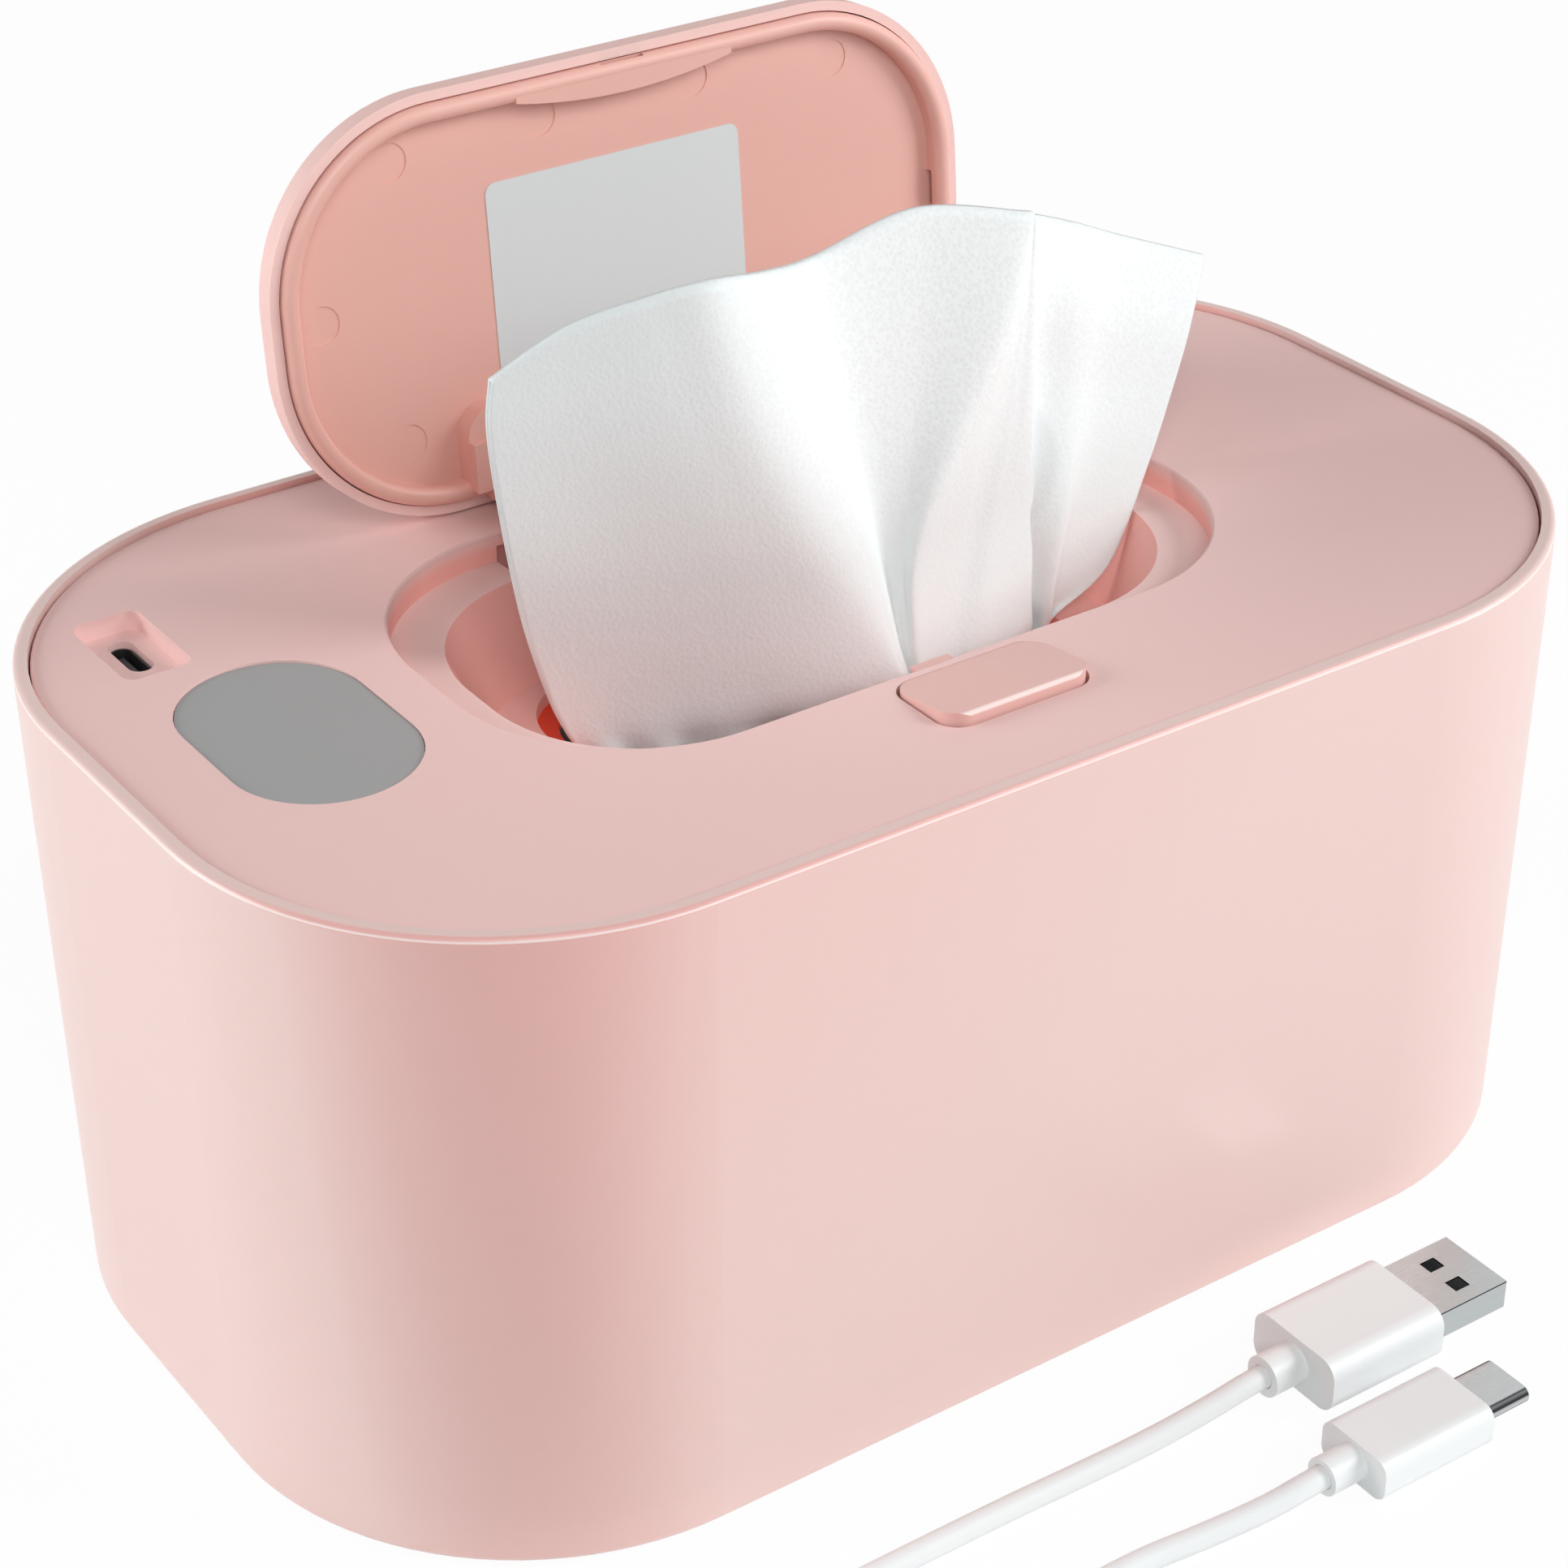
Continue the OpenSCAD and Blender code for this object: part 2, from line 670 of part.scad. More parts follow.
module throat_profile(extra) {
    polygon([
        [0, ledge_z - (extra > 0 ? ledge_t : 0)],
        [throat_foot_r + extra - (extra > 0 ? ledge_t * throat_lean / throat_depth : 0),
            ledge_z - (extra > 0 ? ledge_t : 0)],
        [mouth_r + extra, recess_z],
        [0, recess_z]
    ]);
}

// A rounded edge cut round an opening with its own corner axes
module edge_cut(l, w, r, z, size) {
    around(l / 2 - r, w / 2 - r)
        difference() {
            translate([r - 0.2, z - size])
                square([size + 0.2, size + 1]);
            translate([r + size, z - size])
                circle(size);
        }
}

module hinge_ears() {
    for (x = [ear_out_x, ear_in_x])
        difference() {
            union() {
                translate([x, ear_y0 - eps, axis_z])
                    cube([ear_t, axis_y + barrel_r - ear_y0 + eps, deck_under - axis_z + eps]);
                translate([0, axis_y, axis_z])
                    tube(barrel_r, x, x + ear_t);
            }
            translate([0, axis_y, axis_z])
                tube(pin_d / 2 + 0.03, x - 1, x + ear_t + 1);
        }
}

module deck_body() {
    // Deck plate with a rounded edge
    filled(hub_x, hub_y, deck_under, deck_z) {
        union() {
            polygon([
                [0, deck_under],
                [deck_r, deck_under],
                [deck_r, deck_z - deck_edge],
                [deck_r - deck_edge, deck_z],
                [0, deck_z]
            ]);
            translate([deck_r - deck_edge, deck_z - deck_edge])
                circle(deck_edge);
        }
    }
    // Skirt
    around(hub_x, hub_y)
        translate([skirt_in_r, under_z])
            square([skirt_wall, deck_under - under_z + eps]);
    // Pan of the recess and wall of the throat
    block(recess_l + 2 * recess_wall, recess_w + 2 * recess_wall, recess_r + recess_wall,
        recess_z - deck_t, deck_under + eps);
    filled(mouth_hub_x, mouth_hub_y, mat_z, recess_z)
        throat_profile(throat_wall);
    // Guide of the button
    translate([0, button_y, 0])
        block(slot_l + 2.4, slot_w + 2.4, slot_r + 1.2, guide_low, deck_under + eps);
    // Boss under the port
    translate([-port_x, port_y, 0])
        block(port_w + 4, port_l + 4, port_r + 2, port_under, deck_under + eps);
    // Screw bosses, posts of the boards
    for (p = screw_at)
        translate([p[0], p[1], under_z])
            cylinder(r = boss_r, h = deck_under - under_z + eps);
    for (p = display_posts)
        translate([p[0], p[1], board_z + board_t])
            cylinder(r = post_r, h = deck_under - board_z - board_t + eps);
    for (p = port_posts)
        translate([p[0], p[1], socket_bottom])
            cylinder(r = post_r, h = deck_under - socket_bottom + eps);
    mirror_pair()
        hinge_ears();
}

module deck_cuts() {
    // Recess, throat and dispensing hole
    block(recess_l, recess_w, recess_r, recess_z, deck_z + 1);
    edge_cut(recess_l, recess_w, recess_r, deck_z, 0.4);
    filled(mouth_hub_x, mouth_hub_y, ledge_z, recess_z)
        throat_profile(0);
    translate([0, 0, -eps])
        block(mouth_l, mouth_w, mouth_r, recess_z, recess_z + 0.5);
    block(hole_l, hole_w, hole_r, mat_z - 1, ledge_z + 0.5);
    // Slots that the gooseneck arms swing through
    mirror_pair()
        translate([hinge_slot_x0, mouth_w / 2 - 4, hinge_slot_low])
            cube([hinge_slot_x1 - hinge_slot_x0, ear_y0 + 0.1 - mouth_w / 2 + 4, deck_under - hinge_slot_low]);
    // Slot of the button and way of the latch's nose
    translate([0, button_y, 0])
        block(slot_l, slot_w, slot_r, guide_low - 1, deck_z + 1);
    translate([-nose_w / 2 - 0.4, -recess_w / 2 - slot_wall - 1.4, nose_z - 0.25])
        cube([nose_w + 0.8, slot_wall + 2, nose_t + 0.5]);
    // Window opening with its ledge
    translate([-window_x, 0, deck_z - window_drop - window_t])
        linear_extrude(window_t + window_drop + 1)
            stadium(window_w, window_l);
    translate([-window_x, 0, deck_under - 1])
        linear_extrude(deck_t + 2)
            stadium(window_w - 2 * window_ledge, window_l - 2 * window_ledge);
    // Port recess and the socket's slot
    translate([-port_x, port_y, 0])
        block(port_w, port_l, port_r, port_floor, deck_z + 1);
    translate([-socket_x, socket_y, port_under - 1])
        linear_extrude(port_floor - port_under + 2)
            stadium(socket_w + 2 * socket_gap, socket_l + 2 * socket_gap);
    // Pilot holes
    for (p = screw_at)
        translate([p[0], p[1], under_z - 1])
            cylinder(r = pilot_r, h = screw_l + 2);
    for (p = display_posts)
        translate([p[0], p[1], board_z + board_t - 1])
            cylinder(r = post_pilot_r, h = post_screw_l);
    for (p = port_posts)
        translate([p[0], p[1], socket_bottom - 1])
            cylinder(r = post_pilot_r, h = post_screw_l);
}

module top_deck() {
    color(pink)
        difference() {
            deck_body();
            deck_cuts();
        }
}

// Plate under the cover: it holds the heater and carries the seal
module cover_underplate() {
    color(deep_pink)
        difference() {
            union() {
                filled(hub_x, hub_y, under_bottom, under_z)
                    translate([0, under_bottom])
                        square([skirt_r, under_t]);
                around(hub_x, hub_y)
                    translate([seal_r - 0.8, seal_top - seal_seat])
                        square([seal_w + 1.6, under_bottom - seal_top + seal_seat + eps]);
                // Seats of the button springs, each with a pip inside the spring
                for (x = [-1, 1])
                    translate([x * button_spring_x, button_y, under_z - eps]) {
                        cylinder(d = button_spring_d + 1.2, h = spring_floor - under_z);
                        cylinder(d = button_spring_d - 2 * spring_wire - 0.6, h = spring_floor - under_z + 2);
                    }
                // Rail of the latch's slider, with the stop of its spring
                translate([-nose_w / 2, slider_front - latch_spring_l - 1.8, under_z - eps])
                    cube([nose_w, riser_y - slider_front + latch_spring_l + 1.8, slider_z - 0.1 - under_z]);
                translate([-nose_w / 2, slider_front - latch_spring_l - 1.8, under_z - eps])
                    cube([nose_w, 1.5, slider_top + 0.6 - under_z]);
            }
            block(hole_l + 2 * plate_hole_end, hole_w + 2 * plate_hole_side, hole_r + 4,
                under_bottom - 1, under_z + 1);
            around(hub_x, hub_y)
                translate([seal_r, seal_top - seal_seat - 1])
                    square([seal_w, seal_seat + 1]);
            for (p = screw_at)
                translate([p[0], p[1], under_bottom - 1]) {
                    cylinder(r = screw_r + 0.1, h = under_t + 2);
                    cylinder(r = head_r + 0.3, h = under_t);
                }
        }
}

module cover_seal() {
    color([0.97, 0.97, 0.96])
        around(hub_x, hub_y)
            translate([seal_r, flange_z])
                square([seal_w, seal_t]);
}

// A screw whose shank stands on z = 0, with a hexagon socket in its head
module screw(r, head, head_h, length) {
    difference() {
        union() {
            translate([0, 0, -head_h])
                cylinder(r = head, h = head_h);
            cylinder(r = r, h = length);
        }
        translate([0, 0, -head_h - 1])
            cylinder(r = head * 0.4, h = head_h * 0.6 + 1, $fn = 6);
    }
}

module cover_screws() {
    color(steel)
        for (p = screw_at)
            translate([p[0], p[1], under_z - 1])
                screw(pilot_r - 0.03, head_r, 0.9, screw_l);
}

// Heater
module heating_mat() {
    color([0.95, 0.25, 0.12])
        difference() {
            block(mat_l, mat_w, mat_r, spreader_z, mat_z);
            block(hole_l - 2 * mat_lip, hole_w - 2 * mat_lip, hole_r - mat_lip, spreader_z - 1, mat_z + 1);
        }
}

module heat_spreader() {
    color([0.8, 0.81, 0.82])
        difference() {
            block(mat_l + 2 * spreader_edge, mat_w + spreader_edge, mat_r + 1, under_z, spreader_z);
            block(hole_l, hole_w, hole_r, under_z - 1, spreader_z + 1);
        }
}

module temperature_sensor() {
    color([0.1, 0.1, 0.1])
        translate([sensor_x, -6, mat_z]) {
            cylinder(r = 1.3, h = 1.6);
            translate([0, 0, 1.6])
                cylinder(r1 = 1.3, r2 = 0.6, h = 0.5);
        }
}

module thermal_fuse() {
    color(steel)
        translate([sensor_x, 3, mat_z + 1.52])
            rotate([-90, 0, 0]) {
                cylinder(r = 1.5, h = 8);
                translate([0, 0, 8])
                    cylinder(r1 = 1.5, r2 = 0.5, h = 1.2);
            }
}

// Tube swept along hand-chosen points, with its ends cut square
function unit(v) = v / norm(v);
function tangent(path, i) = unit(path[min(i + 1, len(path) - 1)] - path[max(i - 1, 0)]);
function level(t) = unit(cross([0, 0, 1], t));
function ring(path, i, r, sides) = let (t = tangent(path, i), a = level(t), b = cross(t, a))
    [for (k = [0:sides - 1]) let (turn = 360 * (k + 0.5) / sides) path[i] + r * (cos(turn) * a + sin(turn) * b)];

module swept(path, r, sides) {
    n = len(path);
    points = [for (i = [0:n - 1]) each ring(path, i, r, sides)];
    start_cap = [for (k = [0:sides - 1]) k];
    end_cap = [for (k = [0:sides - 1]) n * sides - 1 - k];
    skin = [for (i = [0:n - 2]) for (k = [0:sides - 1]) let (
        a = i * sides + k,
        b = i * sides + (k + 1) % sides
    ) each [[a, a + sides, b], [b, a + sides, b + sides]]];
    polyhedron(points = points, faces = concat([start_cap], [end_cap], skin), convexity = 10);
}

function mix(a, b, t) = a + (b - a) * t;
function bezier(p, t) = let (
    a = mix(p[0], p[1], t), b = mix(p[1], p[2], t), c = mix(p[2], p[3], t),
    d = mix(a, b, t), e = mix(b, c, t)) mix(d, e, t);

lead_end = [-window_x + 4, -12, board_z - 0.6];
module heater_leads() {
    color([0.9, 0.9, 0.88])
        for (k = [0, 1])
            swept([for (t = [0:0.125:1]) bezier([
                [sensor_x + 1 - 4 * k, -12 - 2.5 * k, mat_z + 0.6],
                [sensor_x - 6, -12 - 2.5 * k, mat_z + 0.6],
                lead_end + [8, -2.5 * k, 0],
                lead_end + [0, -2.5 * k, 0]
            ], t)], 0.6, 8);
}

// Display and boards
module display_window() {
    color([0.6, 0.6, 0.6])
        translate([-window_x, 0, deck_z - window_drop - window_t])
            linear_extrude(window_t)
                stadium(window_w - 2 * window_gap, window_l - 2 * window_gap);
}

module display_module() {
    inset = window_ledge + 0.4;
    color([0.12, 0.12, 0.13])
        translate([-window_x, 0, board_z + board_t])
            linear_extrude(deck_z - window_drop - window_t - 0.3 - board_z - board_t)
                stadium(window_w - 2 * inset, window_l - 2 * inset);
}

module control_board() {
    color([0.1, 0.4, 0.2])
        difference() {
            union() {
                translate([-window_x, 0, 0])
                    block(board_w, board_l, 1, board_z, board_z + board_t);
                // Main chip, inductor and capacitors
                translate([-window_x - 4, -3, board_z - 1.2])
                    cube([7, 7, 1.2 + eps]);
                translate([-window_x - 9, 8, board_z - 3])
                    cube([6, 6, 3 + eps]);
                for (k = [0, 1])
                    translate([-window_x + 8, 6 + 7 * k, board_z - 4.5])
                        cylinder(r = 2.4, h = 4.5 + eps);
            }
            for (p = display_posts)
                translate([p[0], p[1], board_z - 5])
                    cylinder(r = 1.1, h = 9);
        }
}

module port_board() {
    color([0.1, 0.4, 0.2])
        difference() {
            translate([-socket_x, port_board_y, 0])
                block(port_board_w, port_board_l, 1, socket_bottom - board_t, socket_bottom);
            for (p = port_posts)
                translate([p[0], p[1], socket_bottom - board_t - 1])
                    cylinder(r = 1.1, h = board_t + 2);
        }
}

module usb_socket() {
    color(steel)
        translate([-socket_x, socket_y, socket_bottom]) {
            difference() {
                linear_extrude(socket_h)
                    stadium(socket_w, socket_l);
                translate([0, 0, 1])
                    linear_extrude(socket_h)
                        stadium(socket_w - 0.6, socket_l - 0.6);
            }
            translate([-0.35, -3.3, 1 - eps])
                cube([0.7, 6.6, socket_h - 1.8]);
        }
}

module board_screws() {
    color(steel) {
        for (p = display_posts)
            translate([p[0], p[1], board_z])
                screw(post_pilot_r - 0.03, 1.7, 1, post_screw_l);
        for (p = port_posts)
            translate([p[0], p[1], socket_bottom - board_t])
                screw(post_pilot_r - 0.03, 1.7, 1, post_screw_l);
    }
}

// Button: its top slopes up to a raised front edge, and its ends keep it in its guide
module button_side() {
    edge = 0.8;
    front_z = deck_z + button_rise;
    polygon([
        [button_front - 1, button_low],
        [button_back + 1, button_low],
        [button_back + 1, deck_z],
        [button_front + edge, front_z],
        [button_front, front_z - edge],
        [button_front - 1, button_low + 1]
    ]);
    translate([button_front + edge, front_z - edge])
        circle(edge);
}

// A leg pushes the slider away from the lid with a face at 45 degrees
module wedge_leg() {
    polygon([
        [leg_y, button_low + 2],
        [leg_y, slider_top],
        [leg_y + wedge, slider_top - wedge],
        [leg_y + wedge + 1, slider_top - wedge],
        [leg_y + wedge + 1, button_low + 2]
    ]);
}

module push_button() {
    color(pink)
        difference() {
            union() {
                intersection() {
                    translate([0, button_y, 0])
                        block(button_l, button_w, button_r, button_low, deck_z + button_rise + 1);
                    translate([-slot_l, 0, 0])
                        rotate([90, 0, 90])
                            linear_extrude(2 * slot_l)
                                button_side();
                }
                translate([0, button_y, 0])
                    block(slot_l + 1.6, button_w, button_r, button_low, guide_low - 0.3);
            }
            // Hollow from below, with two ribs left standing
            difference() {
                translate([0, button_y, 0])
                    block(button_l - 3, button_w - 3, button_r - 1, button_low - 1, button_roof);
                for (x = [-1, 1])
                    translate([x * leg_x - leg_t / 2, button_front, button_low - 2])
                        cube([leg_t, button_w, button_roof - button_low + 3]);
            }
            // Way of the latch's riser and nose, tall enough for the button's travel
            translate([-nose_w / 2 - 0.5, riser_y - riser_t - button_travel - 0.4, button_low - 1])
                cube([nose_w + 1, button_back - riser_y + riser_t + button_travel + 2,
                    nose_z + nose_t + button_travel + 0.15 - button_low + 1]);
        }
    color(pink)
        for (x = [-1, 1])
            translate([x * leg_x - leg_t / 2, 0, 0])
                rotate([90, 0, 90])
                    linear_extrude(leg_t)
                        wedge_leg();
}

module helix(r, wire, turns, height, sides) {
    steps = 8;
    swept([for (k = [0:turns * steps]) let (turn = 360 * k / steps)
        [r * cos(turn), r * sin(turn), height * k / (turns * steps)]], wire / 2, sides);
}

module button_spring() {
    color(steel)
        for (x = [-1, 1])
            translate([x * button_spring_x, button_y, spring_floor + spring_wire / 2 + 0.1])
                helix((button_spring_d - spring_wire) / 2, spring_wire, 6,
                    button_roof - spring_floor - spring_wire - 0.2, 6);
}

// Latch slider: a nose, a riser through the button and a base with two sloped faces
module latch_slider() {
    color(pink)
        union() {
            translate([-nose_w / 2, riser_y - eps, nose_z])
                cube([nose_w, rib_front + nose_bite - riser_y, nose_t]);
            translate([-nose_w / 2, riser_y - riser_t, slider_z])
                cube([nose_w, riser_t, nose_z + nose_t - slider_z]);
            translate([-nose_w / 2, slider_front, slider_z])
                cube([nose_w, riser_y - slider_front, slider_t]);
            translate([-slider_half, 0, 0])
                rotate([90, 0, 90])
                    linear_extrude(2 * slider_half)
                        polygon([
                            [slider_front, slider_z],
                            [slider_front, slider_top],
                            [leg_y - wedge_gap, slider_top],
                            [leg_y - wedge_gap + slider_t, slider_z]
                        ]);
        }
}

module latch_spring() {
    color(steel)
        translate([0, slider_front - latch_spring_l - 0.1 + spring_wire / 2, slider_z + 2.2])
            rotate([-90, 0, 0])
                helix(latch_coil_r, spring_wire, 4, latch_spring_l - spring_wire, 6);
}

// Lid
module swung_open() {
    translate([0, axis_y, axis_z])
        rotate([-open_deg, 0, 0])
            translate([0, -axis_y, -axis_z])
                children();
}

module lid_shell() {
    hx = lid_l / 2 - lid_r;
    hy = lid_w / 2 - lid_r;
    color(pink)
        swung_open()
            difference() {
                filled(hx, hy, lid_z, lid_top) {
                    union() {
                        polygon([
                            [0, lid_z],
                            [lid_r, lid_z],
                            [lid_r, lid_top - lid_round],
                            [lid_r - lid_round, lid_top],
                            [0, lid_top]
                        ]);
                        translate([lid_r - lid_round, lid_top - lid_round])
                            circle(lid_round);
                    }
                }
                block(lid_l - 2 * lid_wall, lid_w - 2 * lid_wall, lid_r - lid_wall, lid_z - 1, panel_top);
            }
}

// The gooseneck arms, drawn where they stand with the lid open
module neck_side() {
    round_out = 3.4;
    round_in = 1;
    difference() {
        union() {
            translate([neck_front + round_out, neck_low])
                square([axis_y - neck_front - round_out, neck_top - neck_low]);
            translate([neck_front, neck_low + round_out])
                square([round_out + eps, neck_top - neck_low - 2 * round_out]);
            for (z = [neck_low + round_out, neck_top - round_out])
                translate([neck_front + round_out, z])
                    circle(round_out);
            translate([axis_y, axis_z])
                circle(barrel_r);
            // Upper leg into the lug
            translate([axis_y - eps, neck_top - neck_t])
                square([neck_run, neck_t]);
        }
        difference() {
            translate([neck_front + neck_t, neck_low + neck_t])
                square([axis_y + neck_run - neck_front, neck_top - neck_low - 2 * neck_t]);
            for (z = [neck_low + neck_t, neck_top - neck_t - round_in])
                translate([neck_front + neck_t, z])
                    difference() {
                        square([round_in, round_in]);
                        translate([round_in, z < axis_z ? round_in : 0])
                            circle(round_in);
                    }
            translate([axis_y, axis_z])
                circle(barrel_r);
        }
        translate([axis_y, axis_z])
            circle(pin_d / 2 + pin_play);
    }
}

module panel_shut() {
    // Panel plate
    block(rib_l, rib_d, rib_r, panel_z, panel_top);
    // Sealing rib with a round tip
    around(rib_l / 2 - rib_r, rib_d / 2 - rib_r) {
        union() {
            translate([rib_r - rib_w, rib_tip + rib_w / 2])
                square([rib_w, panel_z - rib_tip - rib_w / 2 + eps]);
            translate([rib_r - rib_w / 2, rib_tip + rib_w / 2])
                circle(rib_w / 2);
        }
    }
    // Catch: a shallow bow inside the rib
    bow_r = (catch_l * catch_l / 4 + catch_bulge * catch_bulge) / (2 * catch_bulge);
    intersection() {
        translate([0, rib_front + rib_w + catch_bulge - bow_r, rib_tip + 0.05])
            cylinder(r = bow_r, h = panel_z - rib_tip, $fn = 128);
        translate([-catch_l / 2, rib_front + 0.9, rib_tip])
            cube([catch_l, rib_w + catch_bulge, panel_z - rib_tip + eps]);
    }
    // Lugs with their domed ends
    mirror_pair() {
        translate([lug_x - lug_w / 2, lid_rear - lug_start - lug_l, panel_z - lug_h])
            cube([lug_w, lug_l, lug_h + eps]);
        translate([lug_x, lid_rear - lug_start - lug_l, panel_z - lug_h + 1.5])
            cylinder(r = lug_w / 2, h = lug_h - 1.5 + eps);
    }
}

module catch_pocket() {
    translate([-nose_w / 2 - 0.5, rib_front - 1, catch_lip_top])
        cube([nose_w + 1, nose_bite + 1.5, nose_t + 0.3]);
}

// Where the ejector pins pressed on the panel, from the lid's middle and from its rear edge
ejector_d = 5.4;
ejector_depth = 0.15;
ejector_at = [[-36, 51], [-48.4, 31.1], [-12.6, 52.3], [12.3, 52.6], [35.9, 50.6], [52.3, 27.8], [-37.1, 11.2]];

module lid_panel() {
    color(pink) {
        swung_open()
            difference() {
                panel_shut();
                catch_pocket();
                for (p = ejector_at)
                    translate([p[0] * lid_l / 113, lid_rear - p[1], panel_z - 1])
                        cylinder(d = ejector_d, h = ejector_depth + 1);
            }
        mirror_pair()
            translate([arm_x - arm_w / 2, 0, 0])
                rotate([90, 0, 90])
                    linear_extrude(arm_w)
                        neck_side();
    }
}

module hinge_pin() {
    color(steel)
        translate([0, axis_y, axis_z])
            tube(pin_d / 2, -pin_half, pin_half);
}

module lid_springs() {
    start = arm_x - arm_w / 2 - arm_play - coil_len;
    color(steel)
        mirror_pair()
            translate([start, axis_y, axis_z])
                rotate([0, 90, 0]) {
                    translate([0, 0, lid_wire / 2])
                        helix(coil_r, lid_wire, lid_turns, coil_len - lid_wire, 6);
                }
}

// Cable: two plugs lie in front of the box, and the cord between them is coiled to the left
plug_a_x = 20.2;
plug_a_y = -84.8;
plug_c_x = 14.1;
plug_c_y = -103.5;
grip_a = [20, 16, 8.4];
grip_c = [19.3, 12.2, 6.5];
shell_a = [13.6, 12, 4.5];
shell_c = [8.4, 8.3, 2.6];
relief_l = 5.5;

module grip(size, relief_r) {
    translate([0, 0, size[2] / 2])
        rotate([0, 90, 0])
            linear_extrude(size[0])
                plan(size[2], size[1], size[2] * 0.32);
    translate([-relief_l, 0, size[2] / 2])
        rotate([0, 90, 0])
            difference() {
                cylinder(r = relief_r, h = relief_l + eps);
                translate([0, 0, -eps])
                    cylinder(r = cord_d / 2 + 0.05, h = relief_l / 2);
            }
}

module usb_a_grip() {
    color(white)
        translate([plug_a_x, plug_a_y, 0])
            difference() {
                grip(grip_a, 3);
                translate([grip_a[0] - 2, -shell_a[1] / 2 - 0.05, grip_a[2] / 2 - shell_a[2] / 2 - 0.05])
                    cube([3, shell_a[1] + 0.1, shell_a[2] + 0.1]);
            }
}

module usb_a_shell() {
    wall = 0.3;
    color(steel)
        translate([plug_a_x + grip_a[0] - 2, plug_a_y, grip_a[2] / 2])
            difference() {
                translate([0, -shell_a[1] / 2, -shell_a[2] / 2])
                    cube([shell_a[0] + 2, shell_a[1], shell_a[2]]);
                translate([2, -shell_a[1] / 2 + wall, -shell_a[2] / 2 + wall])
                    cube([shell_a[0] + 1, shell_a[1] - 2 * wall, shell_a[2] - 2 * wall]);
                for (y = [-1, 1])
                    translate([8.3, y * 2.5 - 1.15, -shell_a[2]])
                        cube([2.6, 2.3, 2 * shell_a[2]]);
            }
}

module usb_a_insert() {
    color(white)
        translate([plug_a_x + grip_a[0] + eps, plug_a_y, grip_a[2] / 2])
            translate([0, -shell_a[1] / 2 + 0.35, -shell_a[2] / 2 + 0.35])
                cube([shell_a[0] - 0.6, shell_a[1] - 0.7, 1.9]);
}

module usb_c_grip() {
    color(white)
        translate([plug_c_x, plug_c_y, 0])
            difference() {
                grip(grip_c, 2.7);
                translate([grip_c[0] - 2, 0, grip_c[2] / 2])
                    rotate([0, 90, 0])
                        linear_extrude(3)
                            stadium(shell_c[2] + 0.1, shell_c[1] + 0.1);
            }
}

module usb_c_shell() {
    wall = 0.3;
    color(steel)
        translate([plug_c_x + grip_c[0] - 2, plug_c_y, grip_c[2] / 2])
            rotate([0, 90, 0])
                difference() {
                    linear_extrude(shell_c[0] + 2)
                        stadium(shell_c[2], shell_c[1]);
                    translate([0, 0, 2])
                        linear_extrude(shell_c[0] + 1)
                            stadium(shell_c[2] - 2 * wall, shell_c[1] - 2 * wall);
                }
}

module usb_c_insert() {
    color([0.1, 0.1, 0.1])
        translate([plug_c_x + grip_c[0] + eps, plug_c_y, grip_c[2] / 2])
            rotate([0, 90, 0])
                difference() {
                    linear_extrude(shell_c[0] - 0.5)
                        stadium(shell_c[2] - 0.7, shell_c[1] - 0.7);
                    translate([-0.4, -3, 1])
                        cube([0.8, 6, shell_c[0]]);
                }
}

// The coil lies in two layers: it spirals in on the floor, climbs, and spirals out on top
coil_x = -96;
coil_y = -110;
coil_outer = 26.8;
coil_lay_gap = 0.95;
coil_pitch = cord_d + coil_lay_gap;
coil_rise = cord_d + coil_lay_gap;
coil_laps = 3;
coil_steps = 24;
tie_t = 0.5;
tie_w = 4;
coil_rest = tie_t + 0.1 + cord_d / 2;
coil_count = 2 * coil_laps * coil_steps + coil_steps / 2;
// Turned angle of a step, from the end at the back of the coil
function lap_of(k) = k / coil_steps;
climb_from = coil_laps;
climb_to = coil_laps + 0.5;
function coil_radius(s) = s < climb_from
    ? coil_outer - coil_pitch * s
    : s < climb_to
        ? coil_outer - coil_pitch * coil_laps
        : coil_outer - coil_pitch * coil_laps + coil_pitch * (s - climb_to);
function coil_lift(s) = coil_rise * min(max((s - climb_from) / (climb_to - climb_from), 0), 1);
function coil_at(s) = [
    coil_x + coil_radius(s) * cos(90 + 360 * s),
    coil_y + coil_radius(s) * sin(90 + 360 * s),
    coil_rest + coil_lift(s)
];
coil_path = concat(
    [coil_at(0) + [cord_d, 0, 0]],
    [for (k = [0:coil_count]) coil_at(lap_of(k))],
    [coil_at(lap_of(coil_count)) + [cord_d, 0, 0]]
);
coil_gap = min([for (i = [0:2:len(coil_path) - 1]) for (j = [i + coil_steps / 2:2:len(coil_path) - 1])
    norm(coil_path[i] - coil_path[j])]) - cord_d;

module cord_coil() {
    color(white)
        swept(coil_path, cord_d / 2, 6);
}

